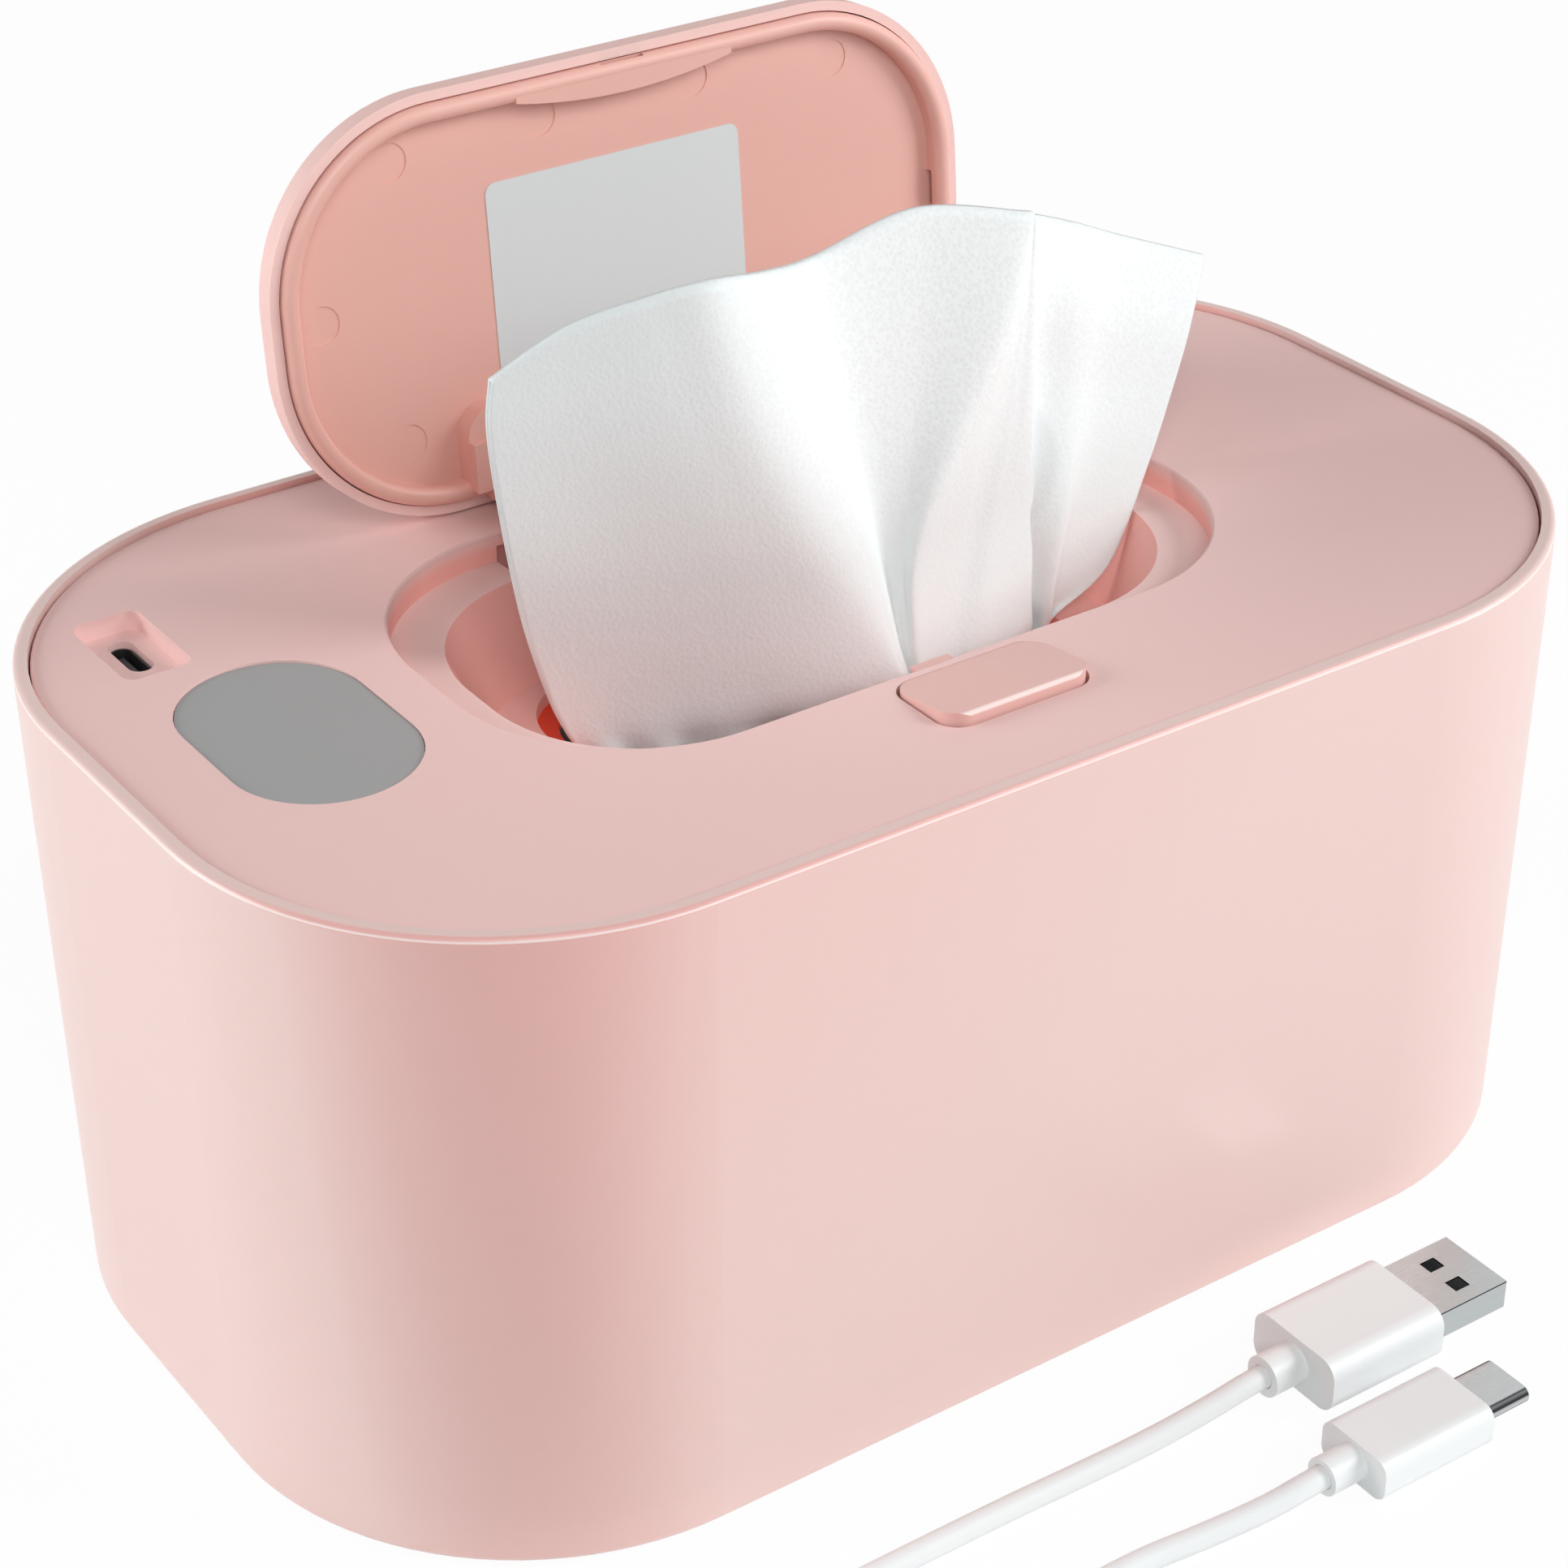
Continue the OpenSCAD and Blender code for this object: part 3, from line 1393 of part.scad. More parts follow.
cord_a_path = [
    [plug_a_x - relief_l / 2, plug_a_y, grip_a[2] / 2],
    [plug_a_x - relief_l - 2, plug_a_y, grip_a[2] / 2],
    [6, -84.6, 3.2],
    [-4, -84.2, 2.1],
    [-14, -83.8, 1.7],
    [-26, -83.5, 1.7],
    [-38, -83.4, 1.7],
    [-50, -83.4, 1.7],
    [-62, -83.5, 1.7],
    [-74, -83.5, 1.7],
    [-84, -83.4, 2],
    [coil_x + cord_d, coil_y + coil_outer, coil_rest]
];
cord_c_path = [
    [plug_c_x - relief_l / 2, plug_c_y, grip_c[2] / 2],
    [plug_c_x - relief_l - 2, plug_c_y, grip_c[2] / 2],
    [0, -103.1, 2.4],
    [-10, -102, 1.8],
    [-20, -101, 1.7],
    [-30, -101.5, 1.7],
    [-40, -105, 1.7],
    [-49, -111, 1.7],
    [-57, -119, 1.9],
    [-66, -127, 2.7],
    [-76, -133, 4],
    [-86, -136.2, 5.3],
    [coil_x + cord_d, coil_y - coil_outer, coil_rest + coil_rise]
];

function path_length(p, i = 1) = i == len(p) ? 0 : norm(p[i] - p[i - 1]) + path_length(p, i + 1);
cord_length = path_length(cord_a_path) + path_length(coil_path) + path_length(cord_c_path);
echo(coil_gap = coil_gap, cord_length = cord_length);

module cord_run(path) {
    color(white)
        swept(path, cord_d / 2, 8);
}

module cord_a_run() {
    cord_run(cord_a_path);
}

module cord_c_run() {
    cord_run(cord_c_path);
}

// Strap round the coil's turns, on its far side
module cord_tie() {
    inner = coil_outer - coil_pitch * coil_laps - cord_d / 2 - 0.4;
    outer = coil_outer + cord_d / 2 + 0.4;
    high = tie_t + 0.2 + cord_d + coil_rise + 0.2;
    color(white)
        translate([coil_x - outer, coil_y, 0])
            rotate([90, 0, 0])
                linear_extrude(tie_w, center = true)
                    difference() {
                        translate([-tie_t, 0])
                            square([outer - inner + 2 * tie_t, high + tie_t]);
                        translate([0, tie_t])
                            square([outer - inner, high - tie_t]);
                    }
}

outer_shell();
rubber_feet();
inner_tub();
wipe_stack();
pulled_wipe();
top_deck();
cover_underplate();
cover_seal();
cover_screws();
heating_mat();
heat_spreader();
temperature_sensor();
thermal_fuse();
heater_leads();
display_window();
display_module();
control_board();
port_board();
usb_socket();
board_screws();
push_button();
button_spring();
latch_slider();
latch_spring();
lid_shell();
lid_panel();
hinge_pin();
lid_springs();
usb_a_shell();
usb_a_insert();
usb_a_grip();
usb_c_shell();
usb_c_insert();
usb_c_grip();
cord_a_run();
cord_c_run();
cord_coil();
cord_tie();
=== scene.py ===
import math
import random

import bmesh
import bpy
from mathutils import Matrix, Vector


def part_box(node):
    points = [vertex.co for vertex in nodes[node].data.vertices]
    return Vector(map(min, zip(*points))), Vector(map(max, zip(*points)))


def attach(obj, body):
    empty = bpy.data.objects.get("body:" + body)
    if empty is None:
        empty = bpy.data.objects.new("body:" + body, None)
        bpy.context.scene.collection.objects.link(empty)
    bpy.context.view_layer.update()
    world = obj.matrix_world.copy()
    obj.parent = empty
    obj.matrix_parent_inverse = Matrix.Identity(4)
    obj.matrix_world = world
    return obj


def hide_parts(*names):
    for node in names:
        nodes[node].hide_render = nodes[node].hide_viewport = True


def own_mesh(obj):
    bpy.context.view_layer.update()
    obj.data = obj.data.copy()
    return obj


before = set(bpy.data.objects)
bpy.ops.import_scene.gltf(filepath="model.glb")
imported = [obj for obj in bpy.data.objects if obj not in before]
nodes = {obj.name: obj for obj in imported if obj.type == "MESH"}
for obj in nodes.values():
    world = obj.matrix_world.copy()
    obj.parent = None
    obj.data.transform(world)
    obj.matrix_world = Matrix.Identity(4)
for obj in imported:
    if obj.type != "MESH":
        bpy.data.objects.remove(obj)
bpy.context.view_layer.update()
scene = bpy.context.scene
scene.view_settings.view_transform = "Standard"


# Camera.
# It looks down at the display end of the front, from just over half a metre away, through
# a moderate telephoto lens.
CAMERA_AZIMUTH = math.radians(-34.568)
CAMERA_ELEVATION = math.radians(30.94)
CAMERA_ROLL = math.radians(-0.346)
CAMERA_DISTANCE = 0.53385
CAMERA_TARGET = Vector((0.0085, 0.01875, 0.04855))
CAMERA_LENS = 83.1

back = Vector((
    math.sin(CAMERA_AZIMUTH) * math.cos(CAMERA_ELEVATION),
    -math.cos(CAMERA_AZIMUTH) * math.cos(CAMERA_ELEVATION),
    math.sin(CAMERA_ELEVATION),
))
camera_data = bpy.data.cameras.new("camera")
camera_data.lens = CAMERA_LENS
camera_data.sensor_width = 36
camera_data.clip_start = 0.01
camera = bpy.data.objects.new("camera", camera_data)
scene.collection.objects.link(camera)
turn = (-back).to_track_quat("-Z", "Y") @ Matrix.Rotation(CAMERA_ROLL, 3, "Z").to_quaternion()
camera.rotation_mode = "QUATERNION"
camera.rotation_quaternion = turn
camera.location = CAMERA_TARGET + back * CAMERA_DISTANCE
scene.camera = camera


# Cable.
# A white charging cable of soft PVC, 3.4 mm thick and a metre long. Both plugs lie in front of
# the box, and what lies between them is wound to the left into a coil of two layers.
MM = 0.001
CORD_D = 3.4
TIE_UNDER = 0.6
COIL_X = -96
COIL_Y = -110
COIL_OUTER = 26.8
COIL_PITCH = CORD_D + 0.95
COIL_LAPS = 3
CLIMB_LAPS = 0.5
COIL_STEPS = 24
COIL_REST = TIE_UNDER + CORD_D / 2
CABLE_WHITE = (0.82, 0.85, 0.855)
GRIP_WHITE = (0.84, 0.875, 0.88)
TIE_WHITE = (0.85, 0.85, 0.84)

# Points along each run, from its plug to the coil, in millimetres
USB_A_RUN = [
    (17.45, -84.8, 4.2), (12.7, -84.8, 4.2), (6, -84.6, 3.2), (-4, -84.2, 2.1), (-14, -83.8, 1.7),
    (-26, -83.5, 1.7), (-38, -83.4, 1.7), (-50, -83.4, 1.7), (-62, -83.5, 1.7), (-74, -83.5, 1.7),
    (-84, -83.4, 2),
]
USB_C_RUN = [
    (11.35, -103.5, 3.25), (6.6, -103.5, 3.25), (0, -103.1, 2.4), (-10, -102, 1.8),
    (-20, -101, 1.7), (-30, -101.5, 1.7), (-40, -105, 1.7), (-49, -111, 1.7), (-57, -119, 1.9),
    (-66, -127, 2.7), (-76, -133, 4), (-86, -136.2, 5.3),
]


def coil_point(laps):
    """A point of the coil, which winds inwards, climbs one layer and winds outwards again."""
    turned_back = COIL_LAPS + CLIMB_LAPS
    if laps < COIL_LAPS:
        radius = COIL_OUTER - COIL_PITCH * laps
    elif laps < turned_back:
        radius = COIL_OUTER - COIL_PITCH * COIL_LAPS
    else:
        radius = COIL_OUTER - COIL_PITCH * (COIL_LAPS - laps + turned_back)
    climb = min(max((laps - COIL_LAPS) / CLIMB_LAPS, 0), 1)
    angle = math.radians(90 + 360 * laps)
    return (
        COIL_X + radius * math.cos(angle),
        COIL_Y + radius * math.sin(angle),
        COIL_REST + climb * COIL_PITCH,
    )


coil_count = int((2 * COIL_LAPS + CLIMB_LAPS) * COIL_STEPS) + 1
coil = [coil_point(k / COIL_STEPS) for k in range(coil_count)]
route = USB_A_RUN + coil + USB_C_RUN[::-1]
route = [Vector(point) * MM for point in route]
cable_data = bpy.data.curves.new("charging_cable", "CURVE")
cable_data.dimensions = "3D"
# The bevel is one metre, so that each point's radius is the cord's own
cable_data.bevel_depth = 1.0
cable_data.bevel_resolution = 5
cable_data.resolution_u = 4
cable_data.use_fill_caps = True
spline = cable_data.splines.new("BEZIER")
spline.bezier_points.add(len(route) - 1)
for point, place in zip(spline.bezier_points, route):
    point.co = place
    point.radius = CORD_D / 2 * MM
    point.handle_left_type = "AUTO"
    point.handle_right_type = "AUTO"
cable = bpy.data.objects.new("charging_cable", cable_data)
scene.collection.objects.link(cable)
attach(cable, "housing")
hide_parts("cord_a_run", "cord_coil", "cord_c_run")

SKIN_IN = [("Colour", "NodeSocketColor", (1, 1, 1, 1)), ("Roughness", "NodeSocketFloat", 0.4)]
SKIN_OUT = [
    ("Colour", "NodeSocketColor"), ("Roughness", "NodeSocketFloat"), ("Height", "NodeSocketFloat"),
]
GRAIN_PER_M = 2600
GRAIN_DEPTH = 0.00004
MOTTLE_PER_M = 28
MOTTLE = 0.03
PLASTIC_IOR = 1.47
PLAIN_SPECULAR = 0.5
LIGHT_REACH = 0.003


def group(name, sockets_in, sockets_out):
    """An empty shader group with its inputs and outputs."""
    made = bpy.data.node_groups.new(name, "ShaderNodeTree")
    for label, kind, value in sockets_in:
        socket = made.interface.new_socket(label, in_out="INPUT", socket_type=kind)
        socket.default_value = value
    for label, kind in sockets_out:
        made.interface.new_socket(label, in_out="OUTPUT", socket_type=kind)
    return made, made.nodes.new("NodeGroupInput"), made.nodes.new("NodeGroupOutput")


def feed(tree, socket, value):
    """Gives a socket a plain number, or links another node's output to it."""
    if isinstance(value, (int, float)):
        socket.default_value = value
    else:
        tree.links.new(value, socket)


def noise(tree, scale, detail, roughness, vector=None):
    """A noise texture on Object coordinates, or on those it is given."""
    if vector is None:
        vector = tree.nodes.new("ShaderNodeTexCoord").outputs["Object"]
    made = tree.nodes.new("ShaderNodeTexNoise")
    tree.links.new(vector, made.inputs["Vector"])
    feed(tree, made.inputs["Scale"], scale)
    made.inputs["Detail"].default_value = detail
    made.inputs["Roughness"].default_value = roughness
    return made.outputs["Fac"]


def maths(tree, operation, first, second=0.0):
    """A Math node on two values or sockets."""
    made = tree.nodes.new("ShaderNodeMath")
    made.operation = operation
    feed(tree, made.inputs[0], first)
    feed(tree, made.inputs[1], second)
    return made.outputs["Value"]


def shade_skin(tree, entry, leave, tone_shift, gloss_shift, height):
    """Hands on a skin's colour and gloss, each a little shifted, and its relief."""
    tone = tree.nodes.new("ShaderNodeHueSaturation")
    tree.links.new(entry.outputs["Colour"], tone.inputs["Color"])
    tree.links.new(maths(tree, "ADD", tone_shift, 1.0), tone.inputs["Value"])
    tree.links.new(tone.outputs["Color"], leave.inputs["Colour"])
    gloss = maths(tree, "ADD", gloss_shift, entry.outputs["Roughness"])
    tree.links.new(gloss, leave.inputs["Roughness"])
    tree.links.new(height, leave.inputs["Height"])


def moulded_group():
    """Spark-eroded mould skin: a fine grain, with faint broad changes of tone and gloss."""
    own = [("Grain per m", "NodeSocketFloat", GRAIN_PER_M), ("Mottle", "NodeSocketFloat", MOTTLE)]
    tree, entry, leave = group("moulded skin", SKIN_IN + own, SKIN_OUT)
    grain = noise(tree, entry.outputs["Grain per m"], 3.0, 0.6)
    broad = noise(tree, MOTTLE_PER_M, 2.0, 0.5)
    shift = maths(tree, "SUBTRACT", broad, 0.5)
    shift = maths(tree, "MULTIPLY", shift, entry.outputs["Mottle"])
    shade_skin(tree, entry, leave, shift, maths(tree, "MULTIPLY", shift, 2.0), grain)
    return tree


def skinned(name, skin, values, bump, depth):
    """A material whose colour, gloss and relief come from a skin group."""
    made = bpy.data.materials.new(name)
    made.use_nodes = True
    tree = made.node_tree
    shader = tree.nodes["Principled BSDF"]
    surface = tree.nodes.new("ShaderNodeGroup")
    surface.node_tree = skin
    for label, value in values.items():
        surface.inputs[label].default_value = value
    relief = tree.nodes.new("ShaderNodeBump")
    relief.inputs["Strength"].default_value = bump
    relief.inputs["Distance"].default_value = depth
    tree.links.new(surface.outputs["Colour"], shader.inputs["Base Color"])
    tree.links.new(surface.outputs["Roughness"], shader.inputs["Roughness"])
    tree.links.new(surface.outputs["Height"], relief.inputs["Height"])
    tree.links.new(relief.outputs["Normal"], shader.inputs["Normal"])
    return made, shader


MOULDED = moulded_group()


def plastic(name, colour, roughness=0.4, grain=GRAIN_PER_M, mottle=MOTTLE, bump=0.08,
            soft=0.0, specular=PLAIN_SPECULAR):
    """A moulded plastic or rubber. What is soft lets a share of the light in under its skin."""
    values = {
        "Colour": (*colour, 1), "Roughness": roughness, "Grain per m": grain, "Mottle": mottle,
    }
    made, shader = skinned(name, MOULDED, values, bump, GRAIN_DEPTH)
    shader.inputs["IOR"].default_value = PLASTIC_IOR
    shader.inputs["Specular IOR Level"].default_value = specular
    if soft:
        shader.inputs["Subsurface Weight"].default_value = soft
        shader.inputs["Subsurface Radius"].default_value = (1.0, 0.45, 0.35)
        shader.inputs["Subsurface Scale"].default_value = LIGHT_REACH
    return made


def dress(material, *names):
    """Gives CAD nodes or pieces a material in every slot."""
    for name in names:
        piece = nodes[name] if isinstance(name, str) else name
        piece.data.materials.clear()
        piece.data.materials.append(material)


dress(plastic("cable jacket", CABLE_WHITE, roughness=0.42, grain=1800, bump=0.05), cable)
dress(
    plastic("plug grip white", GRIP_WHITE, roughness=0.34, grain=2200, bump=0.05),
    "usb_a_grip", "usb_c_grip",
)
dress(plastic("tie white", TIE_WHITE, roughness=0.5), "cord_tie")


# Plugs.
# Drawn steel shells, nickel plated and lightly brushed along their length, round a white and a
# black insert that carry the contacts. The socket behind the port is of blackened steel.
LINES_PER_M = 3000
LINE_STRETCH = 0.03
LINE_CONTRAST = 0.1
LINE_BUMP = 0.05
LINE_DEPTH = 0.00002
NICKEL = (0.52, 0.55, 0.555)
WINDOWED_NICKEL = (0.5, 0.535, 0.54)
NICKEL_ROUGHNESS = 0.26
SOCKET_STEEL = (0.07, 0.07, 0.073)
# Painted dark reflection and painted shade on the plugs, not a metal of their own
PAINTED_DARK = (0.03, 0.03, 0.032)
INSERT_WHITE = (0.85, 0.85, 0.84)
NYLON_BLACK = (0.02, 0.02, 0.02)
# Turns of a surface, 1 square on and 0 edge on, at which a mask starts and is full
SHELL_ROUNDING = ((0.2, 0.4), (0.97, 0.9))
SHELL_SIDE = (0.6, 0.4)
INSERT_TOP = (0.8, 0.95)
# Depths below the shell's top at which the painted dark reflection on its bend starts and is full
DARK_BEND_DEPTH = (0.0003, 0.0002)


def brushed_group():
    """Fine lines along X on plated metal, with a little unevenness in the gloss."""
    own = [("Lines per m", "NodeSocketFloat", LINES_PER_M)]
    tree, entry, leave = group("brushed plating", SKIN_IN + own, SKIN_OUT)
    place = tree.nodes.new("ShaderNodeTexCoord")
    stretch = tree.nodes.new("ShaderNodeMapping")
    stretch.inputs["Scale"].default_value = (LINE_STRETCH, 1, 1)
    tree.links.new(place.outputs["Object"], stretch.inputs["Vector"])
    lines = noise(tree, entry.outputs["Lines per m"], 2.0, 0.7, stretch.outputs["Vector"])
    shift = maths(tree, "MULTIPLY", maths(tree, "SUBTRACT", lines, 0.5), LINE_CONTRAST)
    shade_skin(tree, entry, leave, shift, shift, lines)
    return tree


BRUSHED = brushed_group()


def metal(name, colour, roughness, lines=LINES_PER_M):
    """A plated or bare metal whose lines come from the group above."""
    values = {"Colour": (*colour, 1), "Roughness": roughness, "Lines per m": lines}
    made, shader = skinned(name, BRUSHED, values, LINE_BUMP, LINE_DEPTH)
    shader.inputs["Metallic"].default_value = 1.0
    return made


def along_axis(tree, kind, axis):
    """One part of a surface's Object coordinates or of its Normal."""
    place = tree.nodes.new("ShaderNodeTexCoord")
    part = tree.nodes.new("ShaderNodeSeparateXYZ")
    tree.links.new(place.outputs[kind], part.inputs["Vector"])
    return part.outputs[axis]


def facing(tree, axis):
    """How far a surface turns to either end of an axis: 1 square on, 0 edge on."""
    return maths(tree, "ABSOLUTE", along_axis(tree, "Normal", axis))


def rising(tree, value, start, end):
    """Climbs from 0 to 1 while a value goes from start to end."""
    made = tree.nodes.new("ShaderNodeMapRange")
    made.inputs["From Min"].default_value = start
    made.inputs["From Max"].default_value = end
    tree.links.new(value, made.inputs["Value"])
    return made.outputs["Result"]


def band(tree, value, enter, leave):
    """Is 1 between two slopes, each given by where it starts and ends."""
    return maths(tree, "MULTIPLY", rising(tree, value, *enter), rising(tree, value, *leave))


def mixed(tree, share, under, over):
    """Mixes a plain colour over another by a share from 0 to 1."""
    blend = tree.nodes.new("ShaderNodeMix")
    blend.data_type = "RGBA"
    # The sockets for colours come after those for numbers and vectors
    tree.links.new(share, blend.inputs[0])
    tree.links.new(under, blend.inputs[6])
    blend.inputs[7].default_value = (*over, 1)
    return blend.outputs[2]


def overlay(material, colour, share):
    """Mixes a colour over the material's own by a share from 0 to 1."""
    tree = material.node_tree
    base = tree.nodes["Principled BSDF"].inputs["Base Color"]
    tree.links.new(mixed(tree, share, base.links[0].from_socket, colour), base)


def painted_dark_edges(material):
    """Painted reflection: plated corners go dark along their rounding, for the room's dark side."""
    tree = material.node_tree
    overlay(material, PAINTED_DARK, band(tree, facing(tree, "Z"), *SHELL_ROUNDING))


def painted_dark_bend(material, node):
    """Painted reflection: a dark line where the top of the folded shell bends into its sides."""
    tree = material.node_tree
    start, full = (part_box(node)[1][2] - depth for depth in DARK_BEND_DEPTH)
    near_top = rising(tree, along_axis(tree, "Object", "Z"), start, full)
    side = rising(tree, facing(tree, "Z"), *SHELL_SIDE)
    overlay(material, PAINTED_DARK, maths(tree, "MULTIPLY", near_top, side))


def painted_shade_from_above(material):
    """Painted shade: what the windows of the shell show of the insert lies in the dark."""
    tree = material.node_tree
    overlay(material, PAINTED_DARK, rising(tree, facing(tree, "Z"), *INSERT_TOP))


nickel = metal("nickel plating", NICKEL, NICKEL_ROUGHNESS)
painted_dark_edges(nickel)
dress(nickel, "usb_c_shell")
windowed_nickel = metal("nickel plating with windows", WINDOWED_NICKEL, NICKEL_ROUGHNESS)
painted_dark_bend(windowed_nickel, "usb_a_shell")
dress(windowed_nickel, "usb_a_shell")
dress(metal("dark steel", SOCKET_STEEL, 0.55), "usb_socket")
insert_white = plastic("plug insert white", INSERT_WHITE, roughness=0.45)
painted_shade_from_above(insert_white)
dress(insert_white, "usb_a_insert")
black = plastic("black nylon", NYLON_BLACK, roughness=0.45)
dress(black, "usb_c_insert")


# Outer shell, cover and lid.
# Injection-moulded polypropylene in pale pink with a satin skin, deeper in the tub. The shell,
# deck, button and lid wear lit and shaded copies of one pink, as painted light and shade, and the
# lid's deeper inside and the coral throat are painted shade. Screws close the cover from below, and
# the lid turns on a pin in it.
# Lit and shaded copies of one pink, with painted sheen, highlight, glow and coral shade colours
FACING_PINK = (0.77, 0.425, 0.395)
PAINTED_SHEEN_PINK = (0.79, 0.585, 0.55)
DECK_PINK = (0.87, 0.6, 0.575)
BUTTON_PINK = (0.79, 0.485, 0.445)
LID_PINK = (0.85, 0.585, 0.55)
PAINTED_RECESS_PINK = (0.92, 0.65, 0.62)
DEEP_PINK = (0.8, 0.45, 0.4)
SALMON = (0.775, 0.44, 0.38)
CORAL = (0.96, 0.485, 0.435)
GLINT = (0.92, 0.78, 0.75)
RIB_GLOW_CORAL = (0.88, 0.5, 0.435)
EDGE_HIGHLIGHT_PINK = (0.935, 0.76, 0.725)
SATIN_SPECULAR = 0.2
SATIN_SOFT = 0.04
SLANT = (0.14, 0.38)
RIM_ROUNDING = ((0.08, 0.2), (0.6, 0.4))
EDGE_ROUNDING = ((0.25, 0.5), (0.98, 0.85))
WALL_TURN = (0.95, 0.5)
RIB_TURN = (0.97, 0.7)
# Heights and places in metres
DECK_LEVEL = 0.0957
LEDGE_LEVEL = 0.0855
PORT_END = -0.078
RIM_RISE = 0.0002
RECESS_DEPTH = (0.0004, 0.0014)
WALL_DEPTH = (0.0004, 0.0024)
PORT_FADE = 0.002
LEDGE_FADE = 0.003
LEDGE_SHARE = 0.75


def edge_highlight_group():
    """Painted highlight: a rounded edge is paler than the faces beside it."""
    tree, entry, leave = group(
        "painted edge highlight",
        [("Colour", "NodeSocketColor", (1, 1, 1, 1)), ("Facing", "NodeSocketFloat", 1.0)],
        [("Colour", "NodeSocketColor")],
    )
    edge = band(tree, entry.outputs["Facing"], *EDGE_ROUNDING)
    paler = mixed(tree, edge, entry.outputs["Colour"], EDGE_HIGHLIGHT_PINK)
    tree.links.new(paler, leave.inputs["Colour"])
    return tree


PAINTED_EDGE_HIGHLIGHT = edge_highlight_group()


def painted_edge_highlights(material, axis):
    """Lays the painted edge highlight round the faces that are square on to an axis."""
    tree = material.node_tree
    base = tree.nodes["Principled BSDF"].inputs["Base Color"]
    edge = tree.nodes.new("ShaderNodeGroup")
    edge.node_tree = PAINTED_EDGE_HIGHLIGHT
    tree.links.new(base.links[0].from_socket, edge.inputs["Colour"])
    tree.links.new(facing(tree, axis), edge.inputs["Facing"])
    tree.links.new(edge.outputs["Colour"], base)


def painted_sheen_at_grazing(material):
    """Painted sheen: the shell turns a paler pink where it is seen at a slant."""
    tree = material.node_tree
    slant = tree.nodes.new("ShaderNodeLayerWeight")
    slant.inputs["Blend"].default_value = 0.5
    overlay(material, PAINTED_SHEEN_PINK, rising(tree, slant.outputs["Facing"], *SLANT))


def glint_on_rim(material):
    """Painted highlight: the rounded outer edge of the rim catches the light all round."""
    tree = material.node_tree
    edge = band(tree, facing(tree, "Z"), *RIM_ROUNDING)
    high = rising(tree, along_axis(tree, "Object", "Z"), DECK_LEVEL, DECK_LEVEL + RIM_RISE)
    overlay(material, GLINT, maths(tree, "MULTIPLY", edge, high))


def paint_throat_light_and_shade(material):
    """Painted light and shade: a paler recess; throat walls and ledge coral, as light lost between
    them.
    """
    tree = material.node_tree
    height = along_axis(tree, "Object", "Z")
    recess, sunk = (
        rising(tree, height, DECK_LEVEL - start, DECK_LEVEL - full)
        for start, full in (RECESS_DEPTH, WALL_DEPTH)
    )
    past_port = rising(tree, along_axis(tree, "Object", "X"), PORT_END, PORT_END + PORT_FADE)
    wall = maths(tree, "MULTIPLY", maths(tree, "MULTIPLY", past_port, sunk),
                 rising(tree, facing(tree, "Z"), *WALL_TURN))
    ledge = rising(tree, height, LEDGE_LEVEL + LEDGE_FADE, LEDGE_LEVEL)
    overlay(material, PAINTED_RECESS_PINK, recess)
    overlay(material, CORAL, wall)
    overlay(material, CORAL, maths(tree, "MULTIPLY", ledge, LEDGE_SHARE))


def painted_rib_glow(material):
    """Painted glow: the flanks of the lid's rib and groove go coral from light caught between them.
    """
    tree = material.node_tree
    overlay(material, RIB_GLOW_CORAL, rising(tree, facing(tree, "Y"), *RIB_TURN))


shell_pink = plastic(
    "pink shell moulding", FACING_PINK, roughness=0.32, bump=0.05, soft=SATIN_SOFT)
painted_sheen_at_grazing(shell_pink)
glint_on_rim(shell_pink)
dress(shell_pink, "outer_shell")
deck_pink = plastic(
    "pink deck moulding", DECK_PINK, roughness=0.65, soft=SATIN_SOFT, specular=SATIN_SPECULAR)
paint_throat_light_and_shade(deck_pink)
dress(deck_pink, "top_deck")
lid_pink = plastic(
    "pink lid moulding", LID_PINK, roughness=0.6, bump=0.05, soft=SATIN_SOFT,
    specular=SATIN_SPECULAR)
painted_edge_highlights(lid_pink, "Y")
dress(lid_pink, "lid_shell")
button_pink = plastic(
    "pink button moulding", BUTTON_PINK, roughness=0.5, bump=0.05, soft=SATIN_SOFT)
painted_edge_highlights(button_pink, "Z")
dress(button_pink, "push_button", "latch_slider")
salmon = plastic("salmon lid moulding", SALMON, bump=0.06, soft=SATIN_SOFT)
painted_rib_glow(salmon)
dress(salmon, "lid_panel")
dress(plastic("deep pink moulding", DEEP_PINK, soft=SATIN_SOFT), "inner_tub", "cover_underplate")


# Feet, seal, heater and fastenings.
# Grey rubber pads, a white silicone ring, and a mat of red-orange silicone pressed on a plate of
# aluminium that spreads its heat. Screws, springs and the hinge pin are of zinc-plated steel.
RUBBER_GREY = (0.05, 0.05, 0.052)
SILICONE_WHITE = (0.85, 0.85, 0.83)
SILICONE_RED = (0.95, 0.07, 0.025)
ALUMINIUM = (0.8, 0.8, 0.81)
ZINC = (0.62, 0.62, 0.64)

dress(plastic("grey rubber", RUBBER_GREY, roughness=0.75, grain=1500, bump=0.2), "rubber_feet")
dress(
    plastic("white silicone", SILICONE_WHITE, roughness=0.5, soft=0.2),
    "cover_seal", "heater_leads",
)
dress(
    plastic("red silicone", SILICONE_RED, roughness=0.5, grain=1500, mottle=0.08, bump=0.15),
    "heating_mat",
)
dress(metal("mill aluminium", ALUMINIUM, 0.35, 1800), "heat_spreader")
dress(black, "temperature_sensor")
dress(
    metal("zinc plating", ZINC, 0.35, 2500),
    "thermal_fuse", "cover_screws", "board_screws",
    "hinge_pin", "lid_springs", "button_spring", "latch_spring",
)


